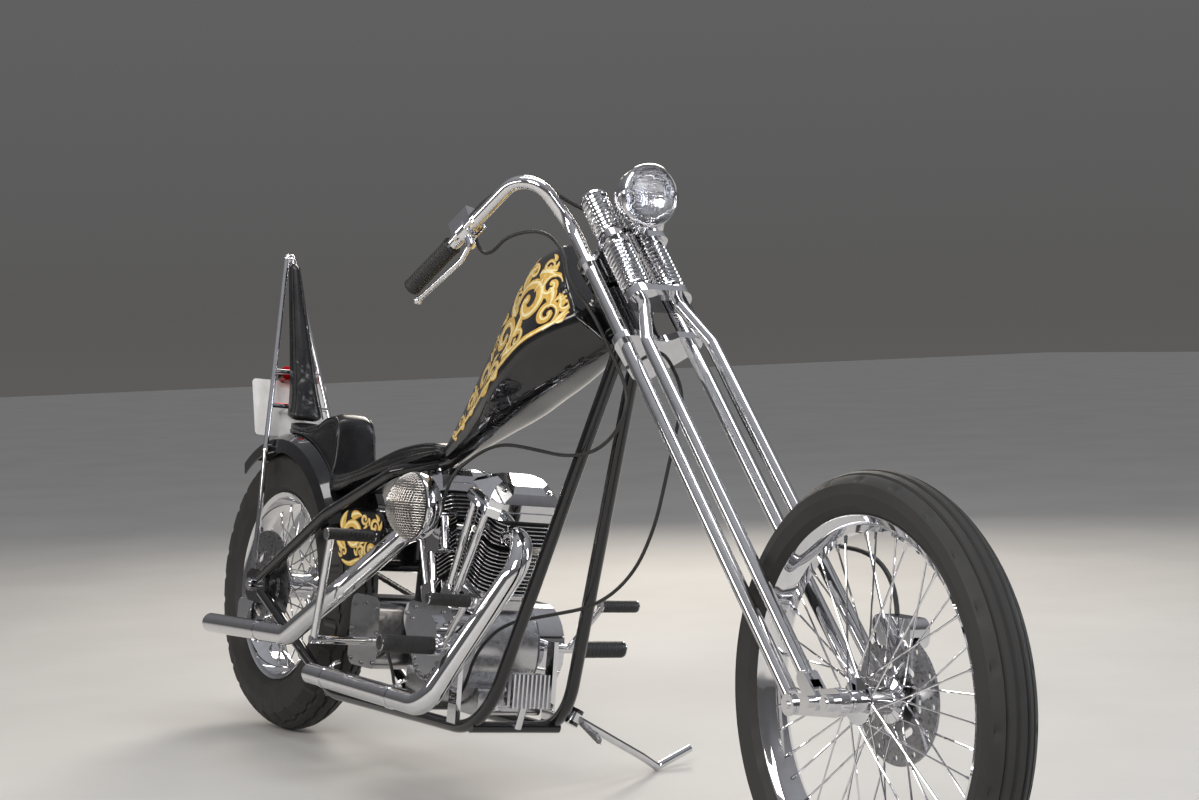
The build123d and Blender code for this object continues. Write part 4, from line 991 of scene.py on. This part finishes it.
# The pad's rows are height, half width and thickness; its buttons are y and z
BAR_KNEE = (-42.0, 640.0)
BAR_TIP = (-206.0, 1108.0)
SISSY_R = 6.3
PAD_BACK = SISSY_R * 1.06 + 0.6
BACKREST = ((717, 42, 44), (760, 34, 46), (800, 29, 44), (900, 22, 38), (1000, 16, 31), (1090, 10, 25))
PAD_LOW = 714
PAD_TOP = 1089
PAD_STEPS = 110
PAD_COUNT = 56
PAD_SQUARE = 0.55
BUTTONS = ((0.0, 762.0), (0.0, 826.0))
BUTTON_DEEP = 8.0
FOLD_REACH = 40.0
BUTTON = [(0, -2), (6.5, -2), (6.5, 0.5), (5.5, 2.4), (3, 3.4), (0, 3.8)]
ACORN = [(0, -8), (7, -8), (8.5, -5), (8.5, -2), (6.5, -1), (6.5, 3), (4.5, 6.5), (1.5, 8.6), (0, 8.8)]


def bar_x(z):
    """The sissy bar's leaning line at a height."""
    return BAR_KNEE[0] + (BAR_TIP[0] - BAR_KNEE[0]) * (z - BAR_KNEE[1]) / (BAR_TIP[1] - BAR_KNEE[1])


def squared(value):
    """A circle's coordinate, pushed out towards a square's."""
    return abs(value) ** PAD_SQUARE * (1 if value > 0 else -1)


def backrest():
    """A tapering pad with a crowned front that folds in to its buttons."""
    mesh = bmesh.new()
    heights = [PAD_LOW + (PAD_TOP - PAD_LOW) * number / PAD_STEPS for number in range(PAD_STEPS + 1)]
    rows = []
    for z in heights:
        half, thick = smooth_rows(BACKREST, z)
        end = min(z - PAD_LOW, PAD_TOP - z)
        pull = 1 - max(0.0, 1 - end / 14.0) ** 2 * 0.4
        middle = bar_x(z) + PAD_BACK + thick / 2
        ring = []
        for k in range(PAD_COUNT):
            turn = 2 * pi * k / PAD_COUNT
            along = squared(cos(turn))
            y = half * pull * squared(sin(turn))
            x = middle + thick / 2 * pull * along
            if along > 0.4:
                x -= 4.0 * (y / half) ** 2
                for by, bz in BUTTONS:
                    dy, dz = y - by, z - bz
                    apart = hypot(dy, dz)
                    x -= BUTTON_DEEP / (1 + (apart / 8.0) ** 2)
                    fold = min(abs(dy - dz * 0.8), abs(dy + dz * 0.8))
                    if apart < FOLD_REACH:
                        x -= 5.0 * max(0.0, 1 - fold / 4.0) * (1 - apart / FOLD_REACH)
            ring.append(mesh.verts.new((x, y, z)))
        rows.append(ring)
    skin(mesh, rows, caps=True)
    pad = piece("backrest_cover", mesh, "frame", VINYL, 60.0, ("backrest",))
    mesh = bmesh.new()
    for side in (-1, 1):
        route = []
        for z in heights[2:-2]:
            half, thick = smooth_rows(BACKREST, z)
            route.append((bar_x(z) + PAD_BACK + thick * 0.9, side * (half * 0.93), z))
        tube(mesh, route, 2.0, 8)
    piece("backrest_piping", mesh, "frame", PIPING, 60.0)
    mesh = bmesh.new()
    for y, z in BUTTONS:
        _, thick = smooth_rows(BACKREST, z)
        lathe(mesh, (bar_x(z) + SISSY_R * 1.06 + thick - 9.0, y, z), (1, 0, 0.35), BUTTON, 24)
    piece("backrest_buttons", mesh, "frame", VINYL, 60.0)
    mesh = bmesh.new()
    for side in (-1, 1):
        lathe(mesh, (BAR_TIP[0], side * 6, BAR_TIP[1] - 2), (-0.33, 0, 0.94), ACORN, 24)
    piece("bar_finial", mesh, "frame", CHROME, 60.0)


backrest()


# Engine: finned barrels and heads, rocker boxes, covers and their screws
DECK = 125.0
HEAD_LOW = 245.0
HEAD_TOP = 300.0
CASE_HALF = 70.0
GEAR_FACE = -CASE_HALF - 44
PRIMARY_FACE = 148
BARREL_FINS = [(DECK + 18 + 8.0 * k, 122, 133, 30) for k in range(12)]
HEAD_FINS = [(HEAD_LOW + 2 + 8.4 * k, 125, 137, 26) for k in range(6)]
FIN_THICK = 2.6
PLUG = [(0, -6), (9, -6), (9, 2), (6, 3), (5, 10), (0, 10)]


def screw(mesh, spot, way, size=5.0, rise=5.0, socket=True):
    """A socket screw's head on its washer."""
    profile = [(0, 0), (size * 1.35, 0), (size * 1.35, 1), (size, 1), (size, rise - 0.6), (size - 0.6, rise)]
    if socket:
        profile += [(size * 0.55, rise), (size * 0.5, rise - 2), (0, rise - 2)]
    else:
        profile += [(0, rise)]
    lathe(mesh, spot, way, profile, 12)


def cylinder(side, name, node):
    """One finned barrel and head with its studs and plug; fins are level, width, depth and corner."""
    mesh, black = bmesh.new(), bmesh.new()
    base, up = cylinder_place(side)
    slab(mesh, base, 98, 100, 20, DECK + 0.3, DECK + 12, 1.5)
    lathe(black, CRANK + up * DECK, up, [(0, 8), (50, 8), (50, 118), (0, 118)], 48)
    slab(black, base, 112, 118, 18, HEAD_LOW - 2, HEAD_TOP - 0.3, 1.5)
    for low, width, depth, corner in BARREL_FINS + HEAD_FINS:
        slab(mesh, base, width, depth, corner, low, low + FIN_THICK, 0.9)
        slab(black, base, width - 4, depth - 4, corner - 2, low - 0.25, low + FIN_THICK + 0.25, 0.2)
    for sx, sy in CORNERS:
        screw(mesh, base @ Vector((sx * 46, sy * 48, HEAD_TOP - 8)), up, 6, 7, False)
    piece(name, mesh, "frame", ALLOY, 32.0, (node,))
    piece(name + "_core", black, "frame", BARREL, 40.0)
    mesh = bmesh.new()
    out = base.to_3x3() @ Vector((0, -1, 0.25))
    lathe(mesh, base @ Vector((side * 24, -60, HEAD_LOW + 22)), out, PLUG, 16)
    piece(name + "_plug", mesh, "frame", STEEL, 40.0)


cylinder(1, "front_cylinder_fins", "front_cylinder")
cylinder(-1, "rear_cylinder_fins", "rear_cylinder")

# A rocker box in rings: half length, reach to the right, corner and height; to the left it reaches less
ROCKER_RINGS = (
    (61, 93, 20, 0.3), (62, 94, 20, 1.2), (62, 94, 20, 17.2), (61, 93, 20, 18), (59, 91, 19, 18.4),
    (59, 91, 19, 19.6), (60, 92, 20, 20.2), (60, 92, 20, 34), (59.4, 91.4, 20, 35), (46, 74, 26, 51),
    (30, 58, 18, 61.4),
)
ROCKER_RIGHT = 94.0
ROCKER_LEFT = 66.0


def rocker_box(side, name, node):
    """Two chamfered castings under a faceted lid, with rows of screws."""
    mesh = bmesh.new()
    base, up = cylinder_place(side)
    rings = []
    for half, reach, cut, level in ROCKER_RINGS:
        near, far = -reach, ROCKER_LEFT * reach / ROCKER_RIGHT
        corners = [
            (-half, near + cut), (-half + cut, near), (half - cut, near), (half, near + cut),
            (half, far - cut), (half - cut, far), (-half + cut, far), (-half, far - cut),
        ]
        rings.append([mesh.verts.new(base @ Vector((x, y, HEAD_TOP + level))) for x, y in corners])
    skin(mesh, rings, caps=True)
    for sx in (-1, 0, 1):
        for sy in (-1, 1):
            screw(mesh, base @ Vector((sx * 34, -12 + sy * 50, HEAD_TOP + 50)), up, 4.2, 6)
    for sx in (-1, 1):
        screw(mesh, base @ Vector((sx * 26, -91, HEAD_TOP + 28)), RIGHTWARD, 5.5, 3.0)
    piece(name, mesh, "frame", CHROME, 12.0, (node,))


rocker_box(1, "front_rocker_cover", "front_rocker_box")
rocker_box(-1, "rear_rocker_cover", "rear_rocker_box")

# Screws as x and z from the shaft's middle, and lids with their profiles
GEARBOX_X = 525.0
GEAR_SCREWS = ((72, 44), (-72, 44), (96, 52), (-96, 52), (60, 68), (-60, 68))
BOX_SCREWS = ((-52, -62), (52, -62), (-52, 52), (52, 52), (0, 58), (0, -66), (-60, 0), (60, 0))
CLUTCH_LID = [(0, 0), (58, 0), (58, 3), (55, 5.5), (44, 6), (42, 4), (0, 4)]
CRANK_LID = [(0, 0), (26, 0), (26, 3), (23, 5), (12, 5.5), (0, 5.5)]


def side_screws():
    """Screw heads round the gear cover, the primary cover and the gearbox cover."""
    mesh = bmesh.new()
    spots = []
    for k in range(9):
        turn = radians(205 + 130 * k / 8)
        spots.append((CRANK.x + 54 * cos(turn), GEAR_FACE, CRANK.z - 10 + 54 * sin(turn)))
    spots += [(CRANK.x + x * 0.96, GEAR_FACE, CRANK.z + z * 0.98) for x, z in GEAR_SCREWS]
    spots += [(GEARBOX_X + x, -82, 280 + z) for x, z in BOX_SCREWS]
    for spot in spots:
        screw(mesh, spot, RIGHTWARD, 4, 4)
    for k in range(20):
        turn = 2 * pi * k / 20
        if cos(turn) > 0.15:
            screw(mesh, (CRANK.x + 80 * cos(turn), PRIMARY_FACE, 290 + 80 * sin(turn)), LEFTWARD, 4, 4)
        if cos(turn) < -0.1:
            screw(mesh, (GEARBOX_X + 98 * cos(turn), PRIMARY_FACE, 286 + 98 * sin(turn)), LEFTWARD, 4, 4)
    piece("case_screws", mesh, "frame", STEEL, 40.0)
    mesh = bmesh.new()
    lathe(mesh, (GEARBOX_X, PRIMARY_FACE, 286), LEFTWARD, CLUTCH_LID, 64)
    lathe(mesh, (CRANK.x, PRIMARY_FACE, 290), LEFTWARD, CRANK_LID, 48)
    piece("primary_lids", mesh, "frame", CHROME, 34.0)


side_screws()

AIR_MOUTH = Vector((862.0, -120.3, 556.0))
AIR_R = 68.0
AIR_DEEP = 96.0
AIR_RIM = 46.0
AIR_DOME = (AIR_R**2 + (AIR_DEEP - AIR_RIM) ** 2) / (2 * (AIR_DEEP - AIR_RIM))
AIR_CUP = [
    (0, 0), (40, 0), (52, 8), (61, 18), (66, 30), (67.6, 40), (67.6, AIR_RIM), (66.5, AIR_RIM + 2),
    (64, AIR_RIM + 1), (64, AIR_RIM - 4), (0, AIR_RIM - 4),
]
WIRE_PITCH = 5.0
WIRE_R = 0.95
WIRE_WEAVE = 0.6
WIRE_STEPS = 24
WIRES = 12
CORE_STEPS = 13


def dome(reach_squared):
    """How far the dome stands out from the mouth at a distance from its middle."""
    return AIR_DEEP - AIR_DOME + sqrt(AIR_DOME**2 - reach_squared)


def air_cleaner():
    """A chrome cup and a dome of coarse square wire mesh over a dark core."""
    mesh = bmesh.new()
    lathe(mesh, AIR_MOUTH, RIGHTWARD, AIR_CUP, 80)
    piece("air_cleaner_cup", mesh, "frame", CHROME, 34.0)
    mesh = bmesh.new()
    core = [(0, AIR_RIM - 3), (AIR_R - 4, AIR_RIM - 3)]
    for step in range(CORE_STEPS + 1):
        radius = (AIR_R - 5) * (1 - step / CORE_STEPS)
        core.append((radius, dome(radius**2) - 2.6))
    lathe(mesh, AIR_MOUTH, RIGHTWARD, core, 64)
    piece("air_cleaner_core", mesh, "frame", RUBBER, 60.0)
    mesh = bmesh.new()
    for number in range(-WIRES, WIRES + 1):
        offset = number * WIRE_PITCH
        half = sqrt((AIR_R - 2.5) ** 2 - offset**2)
        for upright in (False, True):
            route = []
            for step in range(WIRE_STEPS + 1):
                along = -half + 2 * half * step / WIRE_STEPS
                weave = WIRE_WEAVE * (1 if upright else -1) * cos(pi * along / WIRE_PITCH)
                level = dome(along**2 + offset**2) - WIRE_R - 0.6 + weave
                x, z = (offset, along) if upright else (along, offset)
                route.append(AIR_MOUTH + Vector((x, -level, z)))
            tube(mesh, route, WIRE_R, 6)
    piece("air_cleaner_mesh", mesh, "frame", MESH_WIRE, 60.0, ("air_cleaner",))


air_cleaner()


# Cables: each control one smooth line from its lever to its end, bending with the steering
CROSSING_OUT = 57.0
CROSSING_LOW = 830.0
UNDER_CROSSING = 728.0
CABLE_R = 3.4
HOSE_R = 4.0


def smooth_route(points):
    """Points read from a smooth curve with these control points."""
    data = bpy.data.curves.new("route", "CURVE")
    data.dimensions = "3D"
    spline = data.splines.new("NURBS")
    spline.points.add(len(points) - 1)
    for control, point in zip(spline.points, points):
        control.co = (*point, 1.0)
    spline.order_u = 3
    spline.use_endpoint_u = True
    data.resolution_u = 12
    holder = bpy.data.objects.new("route", data)
    bpy.context.scene.collection.objects.link(holder)
    bpy.context.view_layer.update()
    flat = bpy.data.meshes.new_from_object(holder)
    route = [vertex.co.copy() for vertex in flat.vertices]
    bpy.data.objects.remove(holder)
    return route


def crossing(side, up, turn=0.0):
    """A point beside the stem's axis, turned with the steering."""
    around = radians(90 * side + turn)
    return fork(CROSSING_OUT * cos(around) - STEM_BACK, CROSSING_OUT * sin(around), up)


def bar_cable(side):
    """From the lever's clamp, round the outside of the leg and down past both trees."""
    return [
        (1058.4, side * 184.0, 1090.8),
        (1052, side * 172, 1058),
        (1076, side * 157, 1052),
        (1110, side * 140, 1088),
        (1190, side * 104, 1096),
        fork(-10, side * 96, 1030),
        fork(-34, side * 98, 985),
        crossing(side, 930),
        crossing(side, CROSSING_LOW),
    ]


THROTTLE_ON_FRAME = [
    (1430, -60, 740), (1368, -64, 690), (1260, -63, 674), (1130, -58, 684), (990, -52, 692), (908, -64, 664),
    (874, -100, 614), (870, -104, 554),
]
CLUTCH_ON_FRAME = [
    (1424, 58, 735), (1396, 62, 645), (1374, 62, 560), (1326, 56, 470), (1240, 38, 404), (1130, -4, 374),
    (1054, -52, 350), (1012, -84, 290), (986, -86, 216), (924, -86, 176), (800, -87, 171), (690, -84, 178),
    (640, -66, 214), (592, -59, 249),
]
HOSE = [
    (1072.5, -193.8, 1128.2), (1100, -181, 1155), (1172, -132, 1198),
    fork(12, -50, 1140), fork(12, 20, 1105), fork(23, 66, 1078), fork(24, 100, 1010),
    fork(10, 94, 900), fork(6, 93, 320), (2050, 76, 560), (2086, 56, 470),
]


def cables():
    """The two cables bend between fork and frame; the hose stays on the fork."""
    for name, side, rest in (("throttle_cable", -1, THROTTLE_ON_FRAME), ("clutch_cable", 1, CLUTCH_ON_FRAME)):
        points = [ON_FORK @ Vector(point) for point in bar_cable(side)]
        points.append(ON_FRAME @ crossing(side, UNDER_CROSSING, REST_STEER))
        points += [ON_FRAME @ Vector(point) for point in rest]
        mesh = bmesh.new()
        tube(mesh, smooth_route(points), CABLE_R * MM, 10)
        bmesh.ops.recalc_face_normals(mesh, faces=mesh.faces)
        line = thing(name, mesh, RUBBER)
        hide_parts(name + "_fork", name + "_frame")
        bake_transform(line)
    mesh = bmesh.new()
    tube(mesh, smooth_route(HOSE), HOSE_R, 10)
    piece("brake_line", mesh, "fork", RUBBER, 60.0, ("brake_hose",))


cables()


# Chain: plates and rollers along the loop of the solid it stands for
CHAIN_Y = 80.0
SPROCKET = (REAR_AXLE.x, REAR_AXLE.z, 90.5)
PINION = (GEARBOX_X, CRANK.z, 40.5)
CHAIN_PITCH = 15.875
ROLLER = [(0, -6.6), (2.4, -6.6), (2.4, -4.4), (4.2, -4.4), (4.2, 4.4), (2.4, 4.4), (2.4, 6.6), (0, 6.6)]
INNER_PLATE = 4.5
OUTER_PLATE = 5.6
PLATE_WIDE = 9.6


def on_wheel(wheel, turn):
    """A point on a chain wheel of x, z and radius."""
    x, z, radius = wheel
    return Vector((x + radius * cos(turn), CHAIN_Y, z + radius * sin(turn)))


def chain():
    """Inner and outer link pairs on their rollers."""
    big, small = SPROCKET[2], PINION[2]
    run, rise = PINION[0] - SPROCKET[0], PINION[1] - SPROCKET[1]
    distance = hypot(run, rise)
    slope = acos((big - small) / distance)
    upper, lower = atan2(rise, run) + slope, atan2(rise, run) - slope
    arc_big = big * (2 * pi - 2 * slope)
    arc_small = small * 2 * slope
    straight = sqrt(distance**2 - (big - small) ** 2)
    total = arc_big + arc_small + 2 * straight
    links = round(total / CHAIN_PITCH / 2) * 2

    def at(length):
        """The point at a length along the loop: sprocket, lower run, pinion, upper run."""
        length %= total
        if length < arc_big:
            return on_wheel(SPROCKET, upper + length / big)
        length -= arc_big
        if length < straight:
            return on_wheel(SPROCKET, lower).lerp(on_wheel(PINION, lower), length / straight)
        length -= straight
        if length < arc_small:
            return on_wheel(PINION, lower + length / small)
        length -= arc_small
        return on_wheel(PINION, upper).lerp(on_wheel(SPROCKET, upper), length / straight)

    mesh = bmesh.new()
    for number in range(links):
        near, far = at(total * number / links), at(total * (number + 1) / links)
        lathe(mesh, near, LEFTWARD, ROLLER, 10)
        place = upright_place((near + far) / 2, far - near, LEFTWARD)
        low = INNER_PLATE if number % 2 else OUTER_PLATE
        for foot in (-low - 1.0, low):
            slab(mesh, place, (far - near).length + 8.6, PLATE_WIDE, 4.7, foot, foot + 1.0, 0.2)
    piece("chain_links", mesh, "frame", CHAIN_STEEL, 35.0, ("chain",))


chain()


# Small fittings that finish the machine
BAR_CROWN = (1202.0, 147.0, 1208.0)
GRIP_END = (936.0, 255.0, 991.0)
GRIP_LENGTH = 128.0
CLAMP_BACK = 172.0
LEVER_OUT = Vector((0.55, 0.0, -0.55))
FLUID_GLASS = [(8.5, 0.1), (8.5, 1.4), (6.5, 1.4), (6.5, 0.5), (0, 0.5)]


def sleeve(mesh, start, end, radius, pitch):
    """A rubber sleeve with shallow grooves and a rounded end."""
    start, end = Vector(start), Vector(end)
    length = (end - start).length
    profile = [(0, 2), (radius - 1, 2), (radius, 3)]
    at = 8.0
    while at < length - 10:
        profile += [(radius, at), (radius - 0.5, at + 0.5), (radius - 0.5, at + 1.7), (radius, at + 2.2)]
        at += pitch
    profile += [(radius, length - 4), (radius - 1.5, length - 1)]
    profile += [(radius - 4, length + 0.6), (0, length + 0.6)]
    lathe(mesh, start, end - start, profile, 32)


def grip_line(side):
    """The grip's end and the way along it."""
    crown = Vector((BAR_CROWN[0], side * BAR_CROWN[1], BAR_CROWN[2]))
    end = Vector((GRIP_END[0], side * GRIP_END[1], GRIP_END[2]))
    return end, (end - crown).normalized()


def rubbers():
    """Grooved sleeves on pegs, pedals and kick pedal, and ribbed grips."""
    mesh = bmesh.new()
    for side in (-1, 1):
        sleeve(mesh, (985, side * 160, 298), (978, side * 272.2, 300), 16.9, 9.0)
        sleeve(mesh, (1083, side * 144, 392), (1078, side * 232, 394), 11.9, 8.0)
    sleeve(mesh, (608, -226, 482), (612, -118, 482), 12.9, 9.0)
    piece("peg_rubbers", mesh, "frame", RUBBER, 40.0)
    profile = [(13, 0.0), (18.5, 0.0), (18.5, 4)]
    at = 6.0
    while at < GRIP_LENGTH - 10:
        profile += [(16.4, at), (17.3, at + 1.0), (17.3, at + 4.4), (16.4, at + 5.4)]
        at += 6.4
    profile += [(18, GRIP_LENGTH - 4), (18, GRIP_LENGTH + 1), (15, GRIP_LENGTH + 4.6), (0, GRIP_LENGTH + 5)]
    mesh = bmesh.new()
    for side in (-1, 1):
        end, way = grip_line(side)
        lathe(mesh, end - way * GRIP_LENGTH, way, profile, 36)
    piece("grip_rubbers", mesh, "fork", RUBBER, 40.0, ("grips",))


def fluid_lid():
    """The brake cylinder's lid with its gasket, screws and sight glass."""
    end, along = grip_line(-1)
    ahead = (LEVER_OUT - along * LEVER_OUT.dot(along)).normalized()
    up = ahead.cross(along)
    body = end - along * (CLAMP_BACK + 3) - ahead * 12
    lid, gasket = bmesh.new(), bmesh.new()
    place = upright_place(body, ahead, up)
    slab(gasket, place, 42, 52, 5, 17.1, 18.4, 0.3)
    slab(lid, place, 44, 54, 6, 18.4, 22.4, 1.2)
    for sx, sy in CORNERS:
        screw(lid, place @ Vector((sx * 17, sy * 22, 22.2)), up, 3, 2.6)
    lathe(lid, body - ahead * 22, -ahead, FLUID_GLASS, 24)
    piece("fluid_lid", lid, "fork", CHROME, 34.0)
    piece("fluid_gasket", gasket, "fork", RUBBER, 34.0)


STAND_PIVOT = Vector((1046, 118, 186))
STAND_FOOT = Vector((982, 300, 62))
SPRING_ASIDE = Vector((14.0, 0.0, -6.0))
SPRING_TURNS = 22
COIL_STEPS = 14
COIL_REACH = 5.5
COIL_WIRE = 1.3


def stand_spring():
    """A coil along the side stand with a straight hook at each end."""
    mesh = bmesh.new()
    way = (STAND_FOOT - STAND_PIVOT).normalized()
    side, up = across(way)
    steps = SPRING_TURNS * COIL_STEPS
    coil = []
    for step in range(steps + 1):
        turn = 2 * pi * step / COIL_STEPS
        middle = STAND_PIVOT + way * (14 + 90 * step / steps) + SPRING_ASIDE
        coil.append(middle + (side * cos(turn) + up * sin(turn)) * COIL_REACH)
    tube(mesh, coil, COIL_WIRE, 8)
    tube(mesh, [coil[0], STAND_PIVOT + SPRING_ASIDE * 0.6], COIL_WIRE, 8)
    tube(mesh, [coil[-1], coil[-1] + way * 22 - SPRING_ASIDE * 0.6], COIL_WIRE, 8)
    piece("stand_spring", mesh, "stand", STEEL, 40.0)


# Clamps as middle and way; a band's section and its ear's line from the middle
PIPE_CLAMPS = (
    ((560, -174, 184), (1, 0, 0)),
    ((860, -174, 184), (1, 0, 0)),
    ((200, -174, 243.7), (432, 0, 18)),
)
CLAMP_BAND = [(22.1, -7), (23.6, -7), (23.6, 7), (22.1, 7)]
CLAMP_EAR = ((0, 6, 22), (0, 14, 30), (0, 26, 34))


def pipe_clamps():
    """Bands round the pipes with ears that reach in to the engine."""
    mesh = bmesh.new()
    for middle, way in PIPE_CLAMPS:
        lathe(mesh, middle, way, CLAMP_BAND, 40, closed=True)
        tube(mesh, [Vector(middle) + Vector(point) for point in CLAMP_EAR], 4, 10)
    piece("pipe_clamps", mesh, "frame", CHROME, 34.0)


rubbers()
fluid_lid()
stand_spring()
pipe_clamps()


# Oil tank: rounded shell with its cap and scrolls on both ends
OIL_MIDDLE = (492, 0, 470)
OIL_HALF = 88
OIL_CAP = [(0, 0), (21, 0), (21, 4), (18, 6), (18, 12), (15, 14.4), (0, 14.8)]
OIL_VINE = ((404, 420), (440, 414), (492, 424), (540, 414), (578, 424))
OIL_CURLS = (
    (448, 474, 34, 230, -1.15, 3),
    (536, 448, 22, 110, 1.15, 3),
    (548, 500, 15, 330, 1.1, 2),
    (500, 512, 12, 20, -1.1, 2),
    (492, 444, 13, 230, -1.1, 2),
    (412, 438, 11, 250, -1.1, 2),
)


def on_oil_tank(side, u, z, lift):
    """A point of a side view of the oil tank, the left side's view turned round."""
    return Vector((OIL_MIDDLE[0] - side * (u * SCROLL_STRETCH - OIL_MIDDLE[0]), side * (OIL_HALF + lift), z))


def oil_tank():
    """A drum-sided shell under the seat."""
    mesh = bmesh.new()
    slab(mesh, upright_place(OIL_MIDDLE, FORWARD, RIGHTWARD), 184, 126, 30, -OIL_HALF, OIL_HALF, 6.0)
    piece("oil_tank_shell", mesh, "frame", BLACK, 34.0, ("oil_tank",))
    mesh = bmesh.new()
    lathe(mesh, (520, -50, 532), (0, 0, 1), OIL_CAP, 40)
    piece("oil_cap", mesh, "frame", CHROME, 34.0)
    painted_scrolls("oil_scroll_", on_oil_tank, OIL_VINE, OIL_CURLS)


oil_tank()


# Room: pale floor, soft boxes as name, place, aim, size, power and colour, and an even sky
FLOOR_HALF = 30
FLOOR_DROP = 0.0005
LAMPS = (
    ("key", (3.4, -3.6, 3.4), (0.2, 0, 0.5), (2.0, 2.0), 150, (1.0, 0.97, 0.93)),
    ("side", (-0.6, -3.9, 2.0), (0.0, 0, 0.6), (4.0, 0.5), 60, (1.0, 0.95, 0.9)),
    ("front", (4.9, 0.6, 1.8), (0.6, 0, 0.6), (0.6, 2.6), 50, (0.9, 0.93, 1.0)),
    ("rim", (-3.4, 2.6, 2.8), (0.0, 0, 0.6), (1.2, 2.4), 110, (1.0, 0.92, 0.82)),
    ("top", (0.3, 0.2, 4.4), (0.2, 0, 0), (0.9, 3.6), 70, (1.0, 1.0, 1.0)),
    ("left", (2.2, 4.2, 2.0), (0.4, 0, 0.6), (0.7, 2.6), 60, (0.88, 0.92, 1.0)),
)
SKY = (
    (0.46, (0.12, 0.115, 0.11, 1)),
    (1.0, (0.40, 0.41, 0.43, 1)),
    (0.505, (0.10, 0.098, 0.096, 1)),
    (0.62, (0.13, 0.13, 0.136, 1)),
    (0.80, (0.28, 0.28, 0.295, 1)),
)


def add_floor():
    """A plain pale floor just under the tyres."""
    mesh = bmesh.new()
    for sx, sy in ((-1, -1), (1, -1), (1, 1), (-1, 1)):
        mesh.verts.new((sx * FLOOR_HALF, sy * FLOOR_HALF, -FLOOR_DROP))
    mesh.faces.new(mesh.verts)
    material, nodes, links, main = shader("floor")
    pale = tinted(nodes, links, noise(nodes, links, 1.5), (0.50, 0.49, 0.47), (0.55, 0.54, 0.52))
    links.new(pale, main.inputs["Base Color"])
    put(main, Roughness=0.7)
    thing("floor", mesh, material)


def add_lamps():
    """Soft boxes round the machine."""
    for name, spot, aim, size, power, tint in LAMPS:
        light = bpy.data.objects.new(name, bpy.data.lights.new(name, "AREA"))
        light.data.shape = "RECTANGLE"
        light.data.size, light.data.size_y = size
        light.data.energy = power
        light.data.color = tint
        turn = (Vector(aim) - Vector(spot)).to_track_quat("-Z", "Y")
        light.matrix_world = Matrix.Translation(spot) @ turn.to_matrix().to_4x4()
        bpy.context.scene.collection.objects.link(light)


def add_sky():
    """A plain grey sky, brighter overhead; its stops are height and colour."""
    world = bpy.data.worlds.new("sky")
    world.use_nodes = True
    bpy.context.scene.world = world
    nodes, links = world.node_tree.nodes, world.node_tree.links
    split = nodes.new("ShaderNodeSeparateXYZ")
    links.new(nodes.new("ShaderNodeTexCoord").outputs["Generated"], split.inputs["Vector"])
    span = nodes.new("ShaderNodeMapRange")
    put(span, From_Min=-1.0)
    links.new(split.outputs["Z"], span.inputs["Value"])
    ramp = nodes.new("ShaderNodeValToRGB")
    links.new(span.outputs["Result"], ramp.inputs["Fac"])
    stops = ramp.color_ramp.elements
    for stop, (position, colour) in zip(stops, SKY[:2]):
        stop.position = position
        stop.color = colour
    for position, colour in SKY[2:]:
        stops.new(position).color = colour
    links.new(ramp.outputs["Color"], nodes["Background"].inputs["Color"])
    put(nodes["Background"], Strength=1.0)


add_floor()
add_lamps()
add_sky()
bpy.context.scene.view_settings.view_transform = "Standard"
